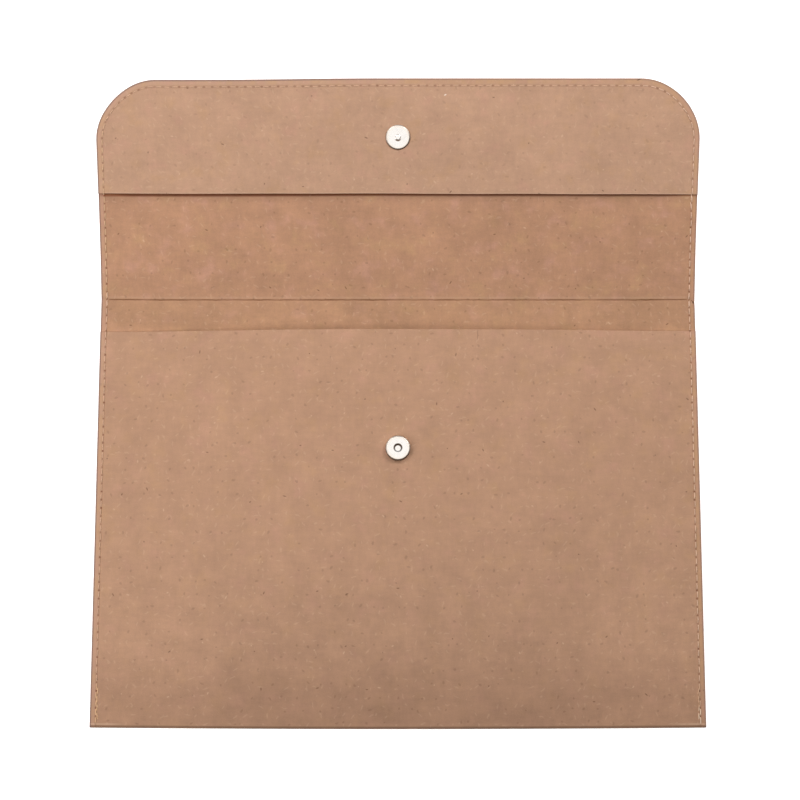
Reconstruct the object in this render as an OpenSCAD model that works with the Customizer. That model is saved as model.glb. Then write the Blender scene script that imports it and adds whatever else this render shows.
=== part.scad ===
// Paper envelope that lies open: one folded sheet, a facing on its flap, one line of stitching
// and a magnetic snap. The back rests on z = 0, the bottom fold looks to -Y and the flap to +Y.

/* [Envelope] */
// Width of the envelope from side edge to side edge
body_w = 340; // [260:1:420]
// Height of the body from its bottom fold to the flap's crease
body_h = 241.4; // [200:0.2:320]
// Length of the flap from its crease to its tip
flap_h = 125; // [105:1:160]
// Radius of the flap's two corners
corner_r = 34; // [15:1:45]
// Distance from the crease down to the mouth edge of the front panel
mouth_drop = 18.4; // [10:0.2:30]
// Thickness of the folded sheet
paper_t = 0.8; // [0.5:0.1:1.2]
// Thickness of the facing
facing_t = 0.7; // [0.5:0.1:1.2]
// Length of the facing from the flap's tip to its free edge
facing_h = 64; // [54:1:80]

/* [Lie of the paper] */
// Rise of the front panel above the back panel at the snap
pillow_h = 8; // [6:0.5:12]
// Share of that rise that is left at the mouth edge
mouth_share = 0.8; // [0.5:0.05:0.9]
// Space between two layers where the seam holds them together
layer_gap = 0.2; // [0.15:0.05:0.5]
// Width of the flat margin that the seam holds down
seam_margin = 8; // [7:0.5:9]
// Width over which the back rises to its sewn side margins
lift_reach = 25; // [15:1:40]
// Clearance between the lower thread and what the envelope lies on
thread_clear = 0.2; // [0.1:0.05:0.5]
// Angle at which the flap rises from its crease
flap_lift = 17; // [8:1:35]
// Further angle that the flap curls up by on the way to its tip
flap_curl = 5; // [1:0.5:12]
// Radius of the crease at mid thickness
crease_r = 2; // [1.5:0.1:2.5]
// Rise of the facing above the flap at the snap
facing_rise = 0.85; // [0.8:0.05:1.5]
// Width of the lip that is pressed flat along the bottom fold
fold_lip = 2.5; // [1:0.5:6]
// Outward bow of the bottom fold at its middle
bottom_bow = 0.6; // [0.1:0.1:2]
// Height of body over which that bow fades out
bow_reach = 60; // [40:1:80]

/* [Seam] */
// Distance from the side edges to the stitching
seam_side = 3.2; // [2.5:0.1:4.5]
// Distance from the flap's tip to the stitching
seam_top = 4; // [2.5:0.1:5]
// Distance from the bottom fold to the first stitch
seam_start = 2; // [1.5:0.5:6]
// Length of one stitch with its gap
stitch_pitch = 4.6; // [3.5:0.1:8]
// Gap between two stitches, where the thread goes into its hole
stitch_gap = 0.9; // [0.8:0.1:1.5]
// Thickness of the two threads
thread_d = 0.7; // [0.4:0.1:0.9]
// Number of stitches that are sewn twice at each bottom corner
tack_count = 4; // [2:1:8]
// Seat clearance between a thread and the paper
thread_seat = 0.05; // [0.03:0.01:0.1]

/* [Snap] */
// Diameter of both halves of the snap
snap_d = 14; // [12:0.5:16]
// Distance from the flap's tip to the middle of the stud half
stud_inset = 32.5; // [28:0.5:38]
// Length of flap that goes round the crease when the envelope is closed
closing_slack = 5.6; // [4:0.1:12]
// Width of the flat ring of paper round each half
flat_ring = 4; // [3:0.5:5]
// Height of the socket half above the paper
socket_h = 3.2; // [2.8:0.1:4]
// Diameter of the hole in the cap
cap_hole_d = 4.9; // [4.6:0.1:6]
// Thickness of the pressed cap
cap_t = 0.3; // [0.25:0.05:0.4]
// Radius of the pressed outer edges
press_r = 0.8; // [0.5:0.1:1]
// Thickness of the socket's plate and of the stud's disc
plate_t = 0.5; // [0.4:0.05:0.6]
// Diameter of the rivet's head
rivet_head_d = 3.5; // [3:0.1:4]
// Thickness of the rivet's head
rivet_head_t = 0.4; // [0.3:0.05:0.5]
// Diameter of the shank on the rivet and on the stud
shank_d = 2; // [1.6:0.1:2.2]
// Diameter of the stud
stud_d = 3.3; // [3:0.1:3.8]
// Space left between stud and rivet when the snap is closed
stud_clear = 0.1; // [0.05:0.05:0.3]
// Thickness of the strips that form the prongs
prong_t = 0.35; // [0.3:0.05:0.4]
// Width of the prongs
prong_w = 2.6; // [2.2:0.1:3.2]
// Distance from the middle of the snap to each prong
prong_x = 3.2; // [2.8:0.1:3.4]
// Diameter of the washers behind the paper
washer_d = 13; // [12:0.5:14]
// Thickness of the washers
washer_t = 0.4; // [0.3:0.05:0.45]
// Diameter of the hole in each washer
washer_hole_d = 3.4; // [2.6:0.1:3.6]
// Clearance round the shanks and in the cap
metal_fit = 0.05; // [0.03:0.01:0.08]
// Clearance round the prongs in their slots
slot_fit = 0.1; // [0.05:0.05:0.15]
// Clearance between the snap's metal and the paper
seat_fit = 0.01; // [0.01:0.01:0.03]
// Width of the lip that is turned in under the cap
lip_w = 0.8; // [0.5:0.1:1.2]

/* [Hidden] */
$fn = 64;

kraft = [0.75, 0.59, 0.48];
thread_tone = [0.89, 0.74, 0.60];
nickel = [0.80, 0.80, 0.79];
steel = [0.66, 0.67, 0.68];
ferrite = [0.22, 0.22, 0.23];

// Steps of the curved stretches of the sheet
fold_steps = 6;
crease_steps = 3;
corner_steps = 9;
pillow_steps = 9;
press_steps = 5;
// Distance below which two neighbouring rows of points are joined into one
row_step = 1.2;
// Spacing of the rows next to the lip
fold_row = 3;
// Length by which a cut runs past the layer that it goes through
cut_over = 0.3;
// Exponents of the pillow's fall towards the bottom fold and towards the seams
fold_power = 2.5;
seam_power = 1.3;

half_w = body_w / 2;
patch_r = snap_d / 2 + flat_ring;
stud_reach = flap_h - stud_inset;
socket_drop = stud_reach - closing_slack;
edge_lift = thread_d + thread_seat + thread_clear;

// Sums of arcs along the flap, from the crease's start to its tip
crease_arc = crease_r * flap_lift * PI / 180;
lower_arc = stud_reach - patch_r - crease_arc / 2;
upper_arc = flap_h - stud_reach - patch_r;
lower_turn = flap_curl * lower_arc / (lower_arc + upper_arc);
upper_turn = flap_curl - lower_turn;

function clamp01(t) = min(1, max(0, t));
function smooth(t) = clamp01(t) * clamp01(t) * (3 - 2 * clamp01(t));
function steps(from, to, count) = [for (i = [0 : count]) from + (to - from) * i / count];
function sorted(v) =
    len(v) < 2 ? v :
    let (p = v[floor(len(v) / 2)])
    concat(sorted([for (a = v) if (a < p) a]), [p], sorted([for (a = v) if (a > p) a]));
function spaced(v) = [
    for (i = [0 : len(v) - 1])
        if (i == 0 || i == len(v) - 1 || v[i + 1] - v[i] > row_step) v[i]
];

// Place and slope [y, z, angle] on an arc of the given length and turn, after the distance d
function arc_at(start, length, turn, d) =
    let (a = start[2] + turn * d / length, r = length * 180 / PI / turn)
    [start[0] + r * (sin(a) - sin(start[2])), start[1] + r * (cos(start[2]) - cos(a)), a];
function line_at(start, d) =
    [start[0] + d * cos(start[2]), start[1] + d * sin(start[2]), start[2]];

// The flap at mid thickness, from its crease at y = 0
crease_end = arc_at([-crease_arc / 2, 0, 0], crease_arc, flap_lift, crease_arc);
patch_start = arc_at(crease_end, lower_arc, lower_turn, lower_arc);
patch_end = line_at(patch_start, 2 * patch_r);
flap_tip = arc_at(patch_end, upper_arc, upper_turn, upper_arc);
function flap_at(s) =
    s < -crease_arc / 2 ? [s, 0, 0] :
    s < crease_arc / 2 ? arc_at([-crease_arc / 2, 0, 0], crease_arc, flap_lift, s + crease_arc / 2) :
    s < stud_reach - patch_r ? arc_at(crease_end, lower_arc, lower_turn, s - crease_arc / 2) :
    s < stud_reach + patch_r ? line_at(patch_start, s - stud_reach + patch_r) :
    arc_at(patch_end, upper_arc, upper_turn, s - stud_reach - patch_r);

// The envelope's whole length is centred on y = 0
flap_reach = flap_tip[0] + paper_t / 2 * sin(flap_tip[2]);
crease_y = (body_h + bottom_bow - flap_reach) / 2;
bottom_y = crease_y - body_h;
mouth_y = crease_y - mouth_drop;
socket_y = crease_y - socket_drop;

// Half the sheet's width at the distance s beyond the crease
function edge_at(s) =
    let (d = s - flap_h + corner_r)
    d <= 0 ? half_w : half_w - corner_r + sqrt(max(0, corner_r * corner_r - d * d));
// Distance from a point of the flap to the flap's outline
function inset_at(x, s) =
    let (dx = abs(x) - half_w + corner_r, ds = s - flap_h + corner_r)
    dx > 0 && ds > 0 ? corner_r - norm([dx, ds]) : min(half_w - abs(x), flap_h - s);

// Rise of the side margins, which fades out at the start of the flap
function lift_at(x, s) =
    edge_lift
    * smooth((abs(x) - half_w + seam_margin + lift_reach) / lift_reach)
    * clamp01(1 - (s - crease_arc) / lift_reach);

// Rise of the front panel above its place on the back panel
function across_at(x) =
    let (t = clamp01((abs(x) - patch_r) / (half_w - seam_margin - patch_r)))
    pow(1 - t * t, seam_power);
function along_at(y) =
    y < socket_y
        ? 1 - pow(clamp01((socket_y - patch_r - y) / (socket_y - patch_r - lip_y)), fold_power)
        : 1 - (1 - mouth_share) * pow(clamp01((y - socket_y - patch_r) / (mouth_y - socket_y - patch_r)), 2);
function pillow_at(x, y) = pillow_h * across_at(x) * along_at(y);

// Rise of the facing above its place on the flap
function facing_rise_at(x, s) =
    let (r = clamp01((inset_at(x, s) - seam_margin) / (upper_arc - seam_margin)))
    facing_rise * (1 - (1 - r) * (1 - r));

// Rows along the sheet: [y, z, angle of the outside normal, half width, front panel or not, s]
fold_r = (paper_t + layer_gap) / 2;
fold_y = bottom_y + fold_r + paper_t / 2;
lip_y = fold_y + fold_lip;
back_z = paper_t / 2;
front_z = back_z + paper_t + layer_gap;

front_ys = spaced(sorted(concat(
    steps(socket_y + patch_r, mouth_y, 4),
    [socket_y, bottom_y + bow_reach],
    steps(lip_y, socket_y - patch_r, 11),
    [fold_y, for (i = [1 : 3]) lip_y + fold_row * i]
)));
front_rows = [
    for (i = [len(front_ys) - 1 : -1 : 1])
        [front_ys[i], front_z, 0, half_w, true, 0]
];
fold_rows = [
    for (a = steps(0, 180, fold_steps))
        [fold_y - fold_r * sin(a), back_z + fold_r + fold_r * cos(a), a, half_w, false, 0]
];
back_rows = [
    for (y = concat(steps(fold_y + bow_reach / 6, fold_y + bow_reach, 3), [socket_y, mouth_y]))
        [y, back_z, 180, half_w, false, 0]
];
facing_ss = spaced(sorted(concat(
    steps(flap_h - facing_h, stud_reach - patch_r, 2),
    [stud_reach, stud_reach + patch_r, flap_h - seam_margin],
    [for (a = steps(0, 90, corner_steps)) flap_h - corner_r + corner_r * sin(a)]
)));
flap_ss = spaced(sorted(concat(
    steps(crease_arc + lift_reach / 5, crease_arc + lift_reach, 4),
    steps(crease_arc + lift_reach, flap_h - facing_h, 3),
    facing_ss
)));
crease_ss = steps(-crease_arc / 2, crease_arc / 2, crease_steps);
flap_rows = [
    for (s = concat(crease_ss, [crease_arc], flap_ss))
        let (p = flap_at(s))
        [crease_y + p[0], back_z + p[1], 180 + p[2], edge_at(s), false, s]
];
sheet_rows = concat(front_rows, fold_rows, back_rows, flap_rows);

facing_rows = [
    for (s = facing_ss)
        let (p = flap_at(s))
        [crease_y + p[0], back_z + p[1], 180 + p[2], edge_at(s), false, s]
];

// Stations across the sheet, as shares of the half width
half_shares = concat(
    [for (a = steps(0, 90, pillow_steps)) patch_r + (half_w - seam_margin - patch_r) * sin(a)],
    [half_w - seam_margin / 2, half_w]
) / half_w;
shares = concat([for (i = [len(half_shares) - 1 : -1 : 0]) -half_shares[i]], half_shares);

// A point of the sheet, at mid thickness plus an offset along the outside normal
function bow_at(share, y) = bottom_bow * (1 - share * share) * clamp01(1 - (y - fold_y) / bow_reach);
function sheet_point(row, share, offset) =
    let (x = share * row[3], rise = row[4] ? pillow_at(x, row[0]) : 0)
    [
        x,
        row[0] - offset * sin(row[2]) - (row[5] == 0 ? bow_at(share, row[0]) : 0),
        row[1] + offset * cos(row[2]) + rise + lift_at(x, row[5])
    ];
function facing_point(row, share, offset) =
    let (x = share * row[3], rise = paper_t / 2 + layer_gap + facing_rise_at(x, row[5]))
    sheet_point(row, share, -rise - offset);

// Triangles that close two like grids of points into one shell
function quad(a, b, c, d) = [[a, b, c], [a, c, d]];
function shell_faces(rows, cols) =
    let (n = rows * cols)
    [
        for (i = [0 : rows - 2], j = [0 : cols - 2])
            let (a = i * cols + j, b = a + 1, c = b + cols, d = a + cols)
            each concat(quad(a, b, c, d), quad(n + a, n + d, n + c, n + b)),
        for (i = [0 : rows - 2])
            let (a = i * cols, d = a + cols, b = a + cols - 1, c = b + cols)
            each concat(quad(a, d, n + d, n + a), quad(c, b, n + b, n + c)),
        for (j = [0 : cols - 2])
            let (a = j, b = j + 1, d = (rows - 1) * cols + j, c = d + 1)
            each concat(quad(b, a, n + a, n + b), quad(d, c, n + c, n + d))
    ];

// Moves children from the snap's own frame, z = 0 on the paper's visible face, to its place
module on_panel() {
    translate([0, socket_y, front_z + paper_t / 2 + pillow_h + seat_fit])
        children();
}
module on_facing() {
    p = flap_at(stud_reach);
    translate([0, crease_y + p[0], back_z + p[1]])
        rotate([p[2], 0, 0])
            translate([0, 0, paper_t / 2 + layer_gap + facing_rise + facing_t + seat_fit])
                children();
}

// Two slots through a layer of the given thickness below z = 0
module prong_slots(thickness) {
    for (side = [-1, 1])
        translate([side * prong_x, 0, -thickness / 2])
            cube([prong_t + 2 * slot_fit, prong_w + 2 * slot_fit, thickness + 2 * cut_over], center = true);
}

module envelope_sheet() {
    points = [
        for (offset = [paper_t / 2, -paper_t / 2], row = sheet_rows, share = shares)
            sheet_point(row, share, offset)
    ];
    color(kraft)
        difference() {
            polyhedron(points, shell_faces(len(sheet_rows), len(shares)));
            on_panel() prong_slots(paper_t);
        }
}

module flap_facing() {
    points = [
        for (offset = [0, facing_t], row = facing_rows, share = shares)
            facing_point(row, share, offset)
    ];
    color(kraft)
        difference() {
            polyhedron(points, shell_faces(len(facing_rows), len(shares)));
            on_facing() prong_slots(facing_t);
        }
}

// The seam's line in the flat sheet, as [x, s], at the distance p along it
side_run = body_h - seam_start;
flap_run = flap_h - corner_r;
corner_run = PI / 4 * (2 * corner_r - seam_side - seam_top);
half_seam = flap_run + corner_run + half_w - corner_r;
function flap_seam(p) =
    p <= flap_run ? [half_w - seam_side, p] :
    p <= flap_run + corner_run ?
        let (
            a = 90 * (p - flap_run) / corner_run,
            r = corner_r - seam_side + (seam_side - seam_top) * a / 90
        )
        [half_w - corner_r + r * cos(a), flap_run + r * sin(a)] :
    [half_w - corner_r - (p - flap_run - corner_run), flap_h - seam_top];
function seam_at(p) =
    p <= 0 ? [half_w - seam_side, p] :
    p <= half_seam ? flap_seam(p) :
    let (q = flap_seam(2 * half_seam - p)) [-q[0], q[1]];

// Height of the visible face above the sheet's mid thickness along the seam
function top_at(s) =
    s < -mouth_drop ? 1.5 * paper_t + layer_gap :
    s < flap_h - facing_h ? paper_t / 2 :
    paper_t / 2 + layer_gap + facing_t;

// A point [x, y, z] at the height h over the sheet's mid thickness
function over_sheet(q, h) =
    let (p = flap_at(q[1]))
    [q[0], crease_y + p[0] - h * sin(p[2]), back_z + p[1] + h * cos(p[2]) + lift_at(q[0], q[1])];

// One stitch: a straight length of thread between two points
module stitch(from, to) {
    d = to - from;
    l = norm(d);
    translate(from)
        rotate([0, acos(d[2] / l), atan2(d[1], d[0])])
            cylinder(d = thread_d, h = l, $fn = 8);
}

// A run of stitches from p0 to p1 along the seam, on the visible face or behind it
module stitch_run(p0, p1, side, shift) {
    count = max(1, round((p1 - p0) / stitch_pitch));
    pitch = (p1 - p0) / count;
    seat = thread_d / 2 + thread_seat;
    for (i = [0 : count - 1]) {
        a = seam_at(p0 + i * pitch + stitch_gap / 2) - [shift, 0];
        b = seam_at(p0 + (i + 1) * pitch - stitch_gap / 2) - [shift, 0];
        h = side > 0 ? max(top_at(a[1]), top_at(b[1])) + seat : -paper_t / 2 - seat;
        stitch(over_sheet(a, h), over_sheet(b, h));
    }
}

module seam(side) {
    tack_shift = thread_d + thread_seat;
    tack_run = tack_count * stitch_pitch;
    for (flip = [0, 1])
        mirror([flip, 0, 0]) {
            stitch_run(-side_run, 0, side, 0);
            stitch_run(-side_run + stitch_pitch / 2, -side_run + stitch_pitch / 2 + tack_run, side, tack_shift);
        }
    stitch_run(0, 2 * half_seam, side, 0);
}

module needle_thread() {
    color(thread_tone)
        seam(1);
}

module bobbin_thread() {
    color(thread_tone)
        seam(-1);
}

// The cut for a round hole through a layer that lies from z = 0 up
module through_hole(r, thickness) {
    translate([0, 0, -cut_over])
        cylinder(r = r, h = thickness + 2 * cut_over);
}

// Points of a quarter round edge about a centre, from one angle to another
function round_points(centre, r, from, to) =
    [for (a = steps(from, to, press_steps)) centre + r * [cos(a), sin(a)]];

// A pressed cup that stands open end down: radius, height, wall and the hole in its top
module pressed_cup(r, h, t, hole_r) {
    rotate_extrude()
        polygon(concat(
            [[r - t, 0], [r, 0]],
            round_points([r - press_r, h - press_r], press_r, 0, 90),
            [[hole_r, h], [hole_r, h - t]],
            round_points([r - press_r, h - press_r], press_r - t, 90, 0)
        ));
}

plate_z = prong_t;
rivet_z = plate_z + plate_t;
cap_r = snap_d / 2;
plate_r = cap_r - cap_t - metal_fit;

module socket_cap() {
    lip_h = prong_t - metal_fit;
    color(nickel)
        on_panel() {
            pressed_cup(cap_r, socket_h, cap_t, cap_hole_d / 2);
            difference() {
                cylinder(r = cap_r - cap_t / 2, h = lip_h);
                through_hole(cap_r - cap_t - lip_w, lip_h);
            }
        }
}

module socket_magnet() {
    top = socket_h - cap_t;
    bevel = press_r - cap_t + metal_fit;
    color(ferrite)
        on_panel()
            rotate_extrude()
                polygon([
                    [cap_hole_d / 2, rivet_z], [plate_r, rivet_z], [plate_r, top - bevel],
                    [plate_r - bevel, top], [cap_hole_d / 2, top]
                ]);
}

module socket_plate() {
    color(steel)
        on_panel()
            translate([0, 0, plate_z])
                difference() {
                    cylinder(r = plate_r, h = plate_t);
                    through_hole(shank_d / 2 + metal_fit, plate_t);
                }
}

module socket_rivet() {
    head_r = rivet_head_d / 2;
    edge = rivet_head_t / 2;
    color(nickel)
        on_panel()
            rotate_extrude()
                polygon(concat(
                    [[0, 0], [shank_d / 2, 0], [shank_d / 2, rivet_z], [head_r, rivet_z]],
                    round_points([head_r - edge, rivet_z + edge], edge, 0, 90),
                    [[0, rivet_z + rivet_head_t]]
                ));
}

// A strip bent into two prongs that go down through a layer and its washer and fold outwards
module prong_strip(thickness) {
    low = -thickness - washer_t - 2 * seat_fit;
    tip = washer_d / 2;
    inner = prong_x - prong_t / 2;
    outer = prong_x + prong_t / 2;
    right = concat(
        [[outer - prong_t, prong_t]],
        round_points([outer - prong_t, 0], prong_t, 90, 0),
        [[outer, low], [tip, low], [tip, low - prong_t]],
        round_points([inner + prong_t, low], prong_t, 270, 180),
        [[inner, 0]]
    );
    left = [for (i = [len(right) - 1 : -1 : 0]) [-right[i][0], right[i][1]]];
    difference() {
        rotate([90, 0, 0])
            linear_extrude(height = prong_w, center = true)
                polygon(concat(right, left));
        through_hole(shank_d / 2 + metal_fit, prong_t);
    }
}

module prong_washer(thickness) {
    translate([0, 0, -thickness - washer_t - 2 * seat_fit])
        difference() {
            cylinder(d = washer_d, h = washer_t);
            through_hole(washer_hole_d / 2, washer_t);
            translate([0, 0, washer_t])
                prong_slots(washer_t);
        }
}

module socket_prongs() {
    color(steel)
        on_panel()
            prong_strip(paper_t);
}

module socket_washer() {
    color(steel)
        on_panel()
            prong_washer(paper_t);
}

module stud_disc() {
    color(nickel)
        on_facing()
            pressed_cup(cap_r, plate_z + plate_t, plate_t, shank_d / 2 + metal_fit);
}

module stud_post() {
    r = stud_d / 2;
    top = rivet_z + socket_h - rivet_z - rivet_head_t - stud_clear;
    edge = r / 3;
    color(nickel)
        on_facing()
            rotate_extrude()
                polygon(concat(
                    [[0, 0], [shank_d / 2, 0], [shank_d / 2, rivet_z], [r, rivet_z]],
                    round_points([r - edge, top - edge], edge, 0, 90),
                    [[0, top]]
                ));
}

module stud_prongs() {
    color(steel)
        on_facing()
            prong_strip(facing_t);
}

module stud_washer() {
    color(steel)
        on_facing()
            prong_washer(facing_t);
}

envelope_sheet();
flap_facing();
needle_thread();
bobbin_thread();
socket_cap();
socket_magnet();
socket_plate();
socket_rivet();
socket_prongs();
socket_washer();
stud_disc();
stud_post();
stud_prongs();
stud_washer();
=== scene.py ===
"""Looks of a paper envelope that lies open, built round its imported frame.

The envelope is one folded sheet with a facing on its flap, a line of stitching round three sides
and a magnetic snap. Lengths are in metres, in the frame's own axes: X runs across the envelope,
Y from its bottom fold to the tip of its flap, and Z up.
"""
from __future__ import annotations

import logging
import math
from dataclasses import dataclass
from enum import Enum
from typing import Any, Mapping, Sequence, Union

import bpy
import numpy as np
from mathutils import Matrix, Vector


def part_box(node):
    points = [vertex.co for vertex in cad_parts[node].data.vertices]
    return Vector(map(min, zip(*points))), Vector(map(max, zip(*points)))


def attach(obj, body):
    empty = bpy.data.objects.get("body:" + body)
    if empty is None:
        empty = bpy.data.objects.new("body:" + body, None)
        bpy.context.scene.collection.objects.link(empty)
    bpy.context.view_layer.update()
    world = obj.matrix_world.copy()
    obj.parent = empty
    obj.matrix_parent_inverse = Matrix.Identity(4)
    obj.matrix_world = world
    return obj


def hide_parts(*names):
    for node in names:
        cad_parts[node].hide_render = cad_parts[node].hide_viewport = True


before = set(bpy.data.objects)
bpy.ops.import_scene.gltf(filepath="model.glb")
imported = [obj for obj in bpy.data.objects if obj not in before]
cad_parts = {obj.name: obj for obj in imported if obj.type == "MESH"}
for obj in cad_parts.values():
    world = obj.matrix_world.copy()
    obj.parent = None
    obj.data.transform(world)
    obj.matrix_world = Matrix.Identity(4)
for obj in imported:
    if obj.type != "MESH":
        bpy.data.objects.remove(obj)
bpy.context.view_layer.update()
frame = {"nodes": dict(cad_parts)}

Array = np.ndarray
Pair = tuple[float, float]
Triple = tuple[float, float, float]
Rgb = Triple
Key = Union[str, int]
Settings = Mapping[str, Any]
Inputs = Mapping[Key, Any]
Material = bpy.types.Material
Thing = bpy.types.Object
MM = 0.001
LOG = logging.getLogger("envelope")

# Distances from a cut edge of the points beside it: the first four round it off
EDGE_STEPS = np.array([0, 0.08, 0.2, 0.45, 1.2, 2.2, 3.2, 4.2, 5.2, 6.5, 8.0]) * MM


def clamp01(t: Array) -> Array:
    """Returns t held between 0 and 1."""
    return np.clip(t, 0.0, 1.0)


def ease(t: Array) -> Array:
    """Returns the smooth step 3t^2 - 2t^3 of t, which is first held between 0 and 1."""
    t = clamp01(t)
    return t * t * (3.0 - 2.0 * t)


def bell(distance: Array, width: float) -> Array:
    """Returns exp(-(distance / width)^2), which is 1 in the middle and fades over the width."""
    return np.exp(-np.square(distance / width))


def merged(least: float, *rows: Array) -> Array:
    """Joins lists of stations into one rising list.

    Args:
        least: Distance under which the later of two neighbours is dropped.
        rows: Lists of stations.

    Returns:
        The stations in rising order.
    """
    values = np.sort(np.concatenate(rows))
    keep = np.diff(values, prepend=-np.inf) > least
    return values[keep]


@dataclass(frozen=True)
class Pattern:
    """The cut and the folds of the paper: its driving sizes, and the curves that follow from them."""

    body_w: float = 340 * MM
    body_h: float = 241.4 * MM
    flap_h: float = 125 * MM
    corner_r: float = 34 * MM
    mouth_drop: float = 18.4 * MM
    paper_t: float = 0.8 * MM
    facing_t: float = 0.7 * MM
    facing_h: float = 64 * MM
    pillow_h: float = 8 * MM
    mouth_share: float = 0.8
    layer_gap: float = 0.2 * MM
    seam_margin: float = 8 * MM
    lift_reach: float = 25 * MM
    edge_lift: float = 0.95 * MM
    flap_lift: float = math.radians(17)
    flap_curl: float = math.radians(5)
    crease_r: float = 2 * MM
    facing_rise: float = 0.85 * MM
    fold_lip: float = 2.5 * MM
    fold_power: float = 2.5
    seam_power: float = 1.3
    bottom_bow: float = 0.6 * MM
    bow_reach: float = 60 * MM
    stud_inset: float = 32.5 * MM
    closing_slack: float = 5.6 * MM
    patch_r: float = 11 * MM

    @property
    def half_w(self) -> float:
        """Half the width of the body."""
        return self.body_w / 2

    @property
    def stud_reach(self) -> float:
        """Length of flap from the crease to the middle of the stud half."""
        return self.flap_h - self.stud_inset

    @property
    def facing_start(self) -> float:
        """Length of flap from the crease to the facing's free edge."""
        return self.flap_h - self.facing_h

    @property
    def crease_arc(self) -> float:
        """Length of flap that bends round the crease."""
        return self.crease_r * self.flap_lift

    @property
    def crease_y(self) -> float:
        """Place of the crease: the envelope's whole length is centred on y = 0."""
        tip_y, _, slope = self.flap_at(np.array([self.flap_h]))
        reach = float(tip_y[0] + self.paper_t / 2 * math.sin(slope[0]))
        return (self.body_h + self.bottom_bow - reach) / 2

    @property
    def mouth_y(self) -> float:
        """Place of the front panel's mouth edge."""
        return self.crease_y - self.mouth_drop

    @property
    def socket_y(self) -> float:
        """Place of the snap's socket half on the front panel."""
        return self.crease_y - self.stud_reach + self.closing_slack

    @property
    def fold_r(self) -> float:
        """Radius of the bottom fold at mid thickness."""
        return (self.paper_t + self.layer_gap) / 2

    @property
    def fold_y(self) -> float:
        """Place of the line where the bottom fold starts."""
        return self.crease_y - self.body_h + self.fold_r + self.paper_t / 2

    @property
    def back_z(self) -> float:
        """Height of the back panel at mid thickness."""
        return self.paper_t / 2

    @property
    def front_z(self) -> float:
        """Height of the front panel at mid thickness, where the seam holds it down."""
        return self.back_z + 2 * self.fold_r

    @property
    def corner_rows(self) -> Array:
        """Rows of points down the flap's round corners, closer together towards the tip."""
        return self.flap_h - self.corner_r * (1 - np.sin(np.linspace(0, math.pi / 2, 31)))

    def flap_at(self, s: Array) -> tuple[Array, Array, Array]:
        """Follows the flap at mid thickness.

        The line is level up to the crease, turns up by flap_lift on a short arc, curls further on
        a long arc, is straight under the snap, and ends in a last arc. On an arc that starts at
        angle a0 with radius r, the place is r (sin a - sin a0) along and r (cos a0 - cos a) up.

        Args:
            s: Length of sheet beyond the crease, negative on the body.

        Returns:
            Distance beyond the crease, height and slope in radians, one array each.
        """
        straight = 2 * self.patch_r
        lower = self.stud_reach - self.patch_r - self.crease_arc / 2
        upper = self.flap_h - self.stud_reach - self.patch_r
        lower_turn = self.flap_curl * lower / (lower + upper)
        lengths = (self.crease_arc, lower, straight, upper)
        turns = (self.flap_lift, lower_turn, 0.0, self.flap_curl - lower_turn)
        y = np.minimum(s, -self.crease_arc / 2)
        z = np.zeros_like(y)
        slope = np.zeros_like(y)
        start = -self.crease_arc / 2
        angle = 0.0
        for length, turn in zip(lengths, turns):
            d = np.clip(s - start, 0.0, length)
            if turn:
                r = length / turn
                end = angle + d / r
                y = y + r * (np.sin(end) - math.sin(angle))
                z = z + r * (math.cos(angle) - np.cos(end))
                slope = slope + d / r
            else:
                y = y + d * math.cos(angle)
                z = z + d * math.sin(angle)
            start += length
            angle += turn
        return y, z, slope

    def above(self, x: Array, s: Array, height: Array, lift: Array) -> Array:
        """Gives the points that stand off the back panel and the flap.

        Args:
            x: Distance across the sheet.
            s: Length of sheet beyond the crease.
            height: Distance from mid thickness, square to the sheet.
            lift: Further rise, straight up.

        Returns:
            The points, with their three coordinates on the last axis.
        """
        y, z, slope = self.flap_at(s)
        y = self.crease_y + y - height * np.sin(slope)
        return np.stack([x, y, self.back_z + z + height * np.cos(slope) + lift], axis=-1)

    def edge_at(self, s: Array) -> Array:
        """Half the sheet's width beyond the crease, with the flap's round corners: a circle's arc."""
        d = np.maximum(s - self.flap_h + self.corner_r, 0.0)
        return self.half_w - self.corner_r + np.sqrt(np.maximum(self.corner_r**2 - d**2, 0.0))

    def inset_at(self, x: Array, s: Array) -> Array:
        """Distance from a point of the sheet to the outline of its sides and its flap."""
        dx = np.abs(x) - self.half_w + self.corner_r
        ds = s - self.flap_h + self.corner_r
        round_part = self.corner_r - np.hypot(dx, ds)
        straight_part = np.minimum(self.half_w - np.abs(x), self.flap_h - s)
        return np.where((dx > 0) & (ds > 0), round_part, straight_part)

    def lift_at(self, x: Array, s: Array) -> Array:
        """Rise of the sewn side margins over their own threads, which fades out on the flap."""
        across = ease((np.abs(x) - self.half_w + self.seam_margin + self.lift_reach) / self.lift_reach)
        return self.edge_lift * across * clamp01(1 - (s - self.crease_arc) / self.lift_reach)

    def pillow_at(self, x: Array, y: Array) -> Array:
        """Rise of the front panel: one minus powers of the way to the seams, the fold and the mouth."""
        t = clamp01((np.abs(x) - self.patch_r) / (self.half_w - self.seam_margin - self.patch_r))
        across = np.power(1 - t * t, self.seam_power)
        low = self.socket_y - self.patch_r
        high = self.socket_y + self.patch_r
        down = np.power(clamp01((low - y) / (low - self.fold_y - self.fold_lip)), self.fold_power)
        up = (1 - self.mouth_share) * np.square(clamp01((y - high) / (self.mouth_y - high)))
        return self.pillow_h * across * (1 - down - up)

    def facing_rise_at(self, x: Array, s: Array) -> Array:
        """Rise of the facing above the flap: a parabola from the seam to the edge of the snap's patch."""
        reach = self.flap_h - self.stud_reach - self.patch_r - self.seam_margin
        r = clamp01((self.inset_at(x, s) - self.seam_margin) / reach)
        return self.facing_rise * r * (2 - r)

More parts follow.
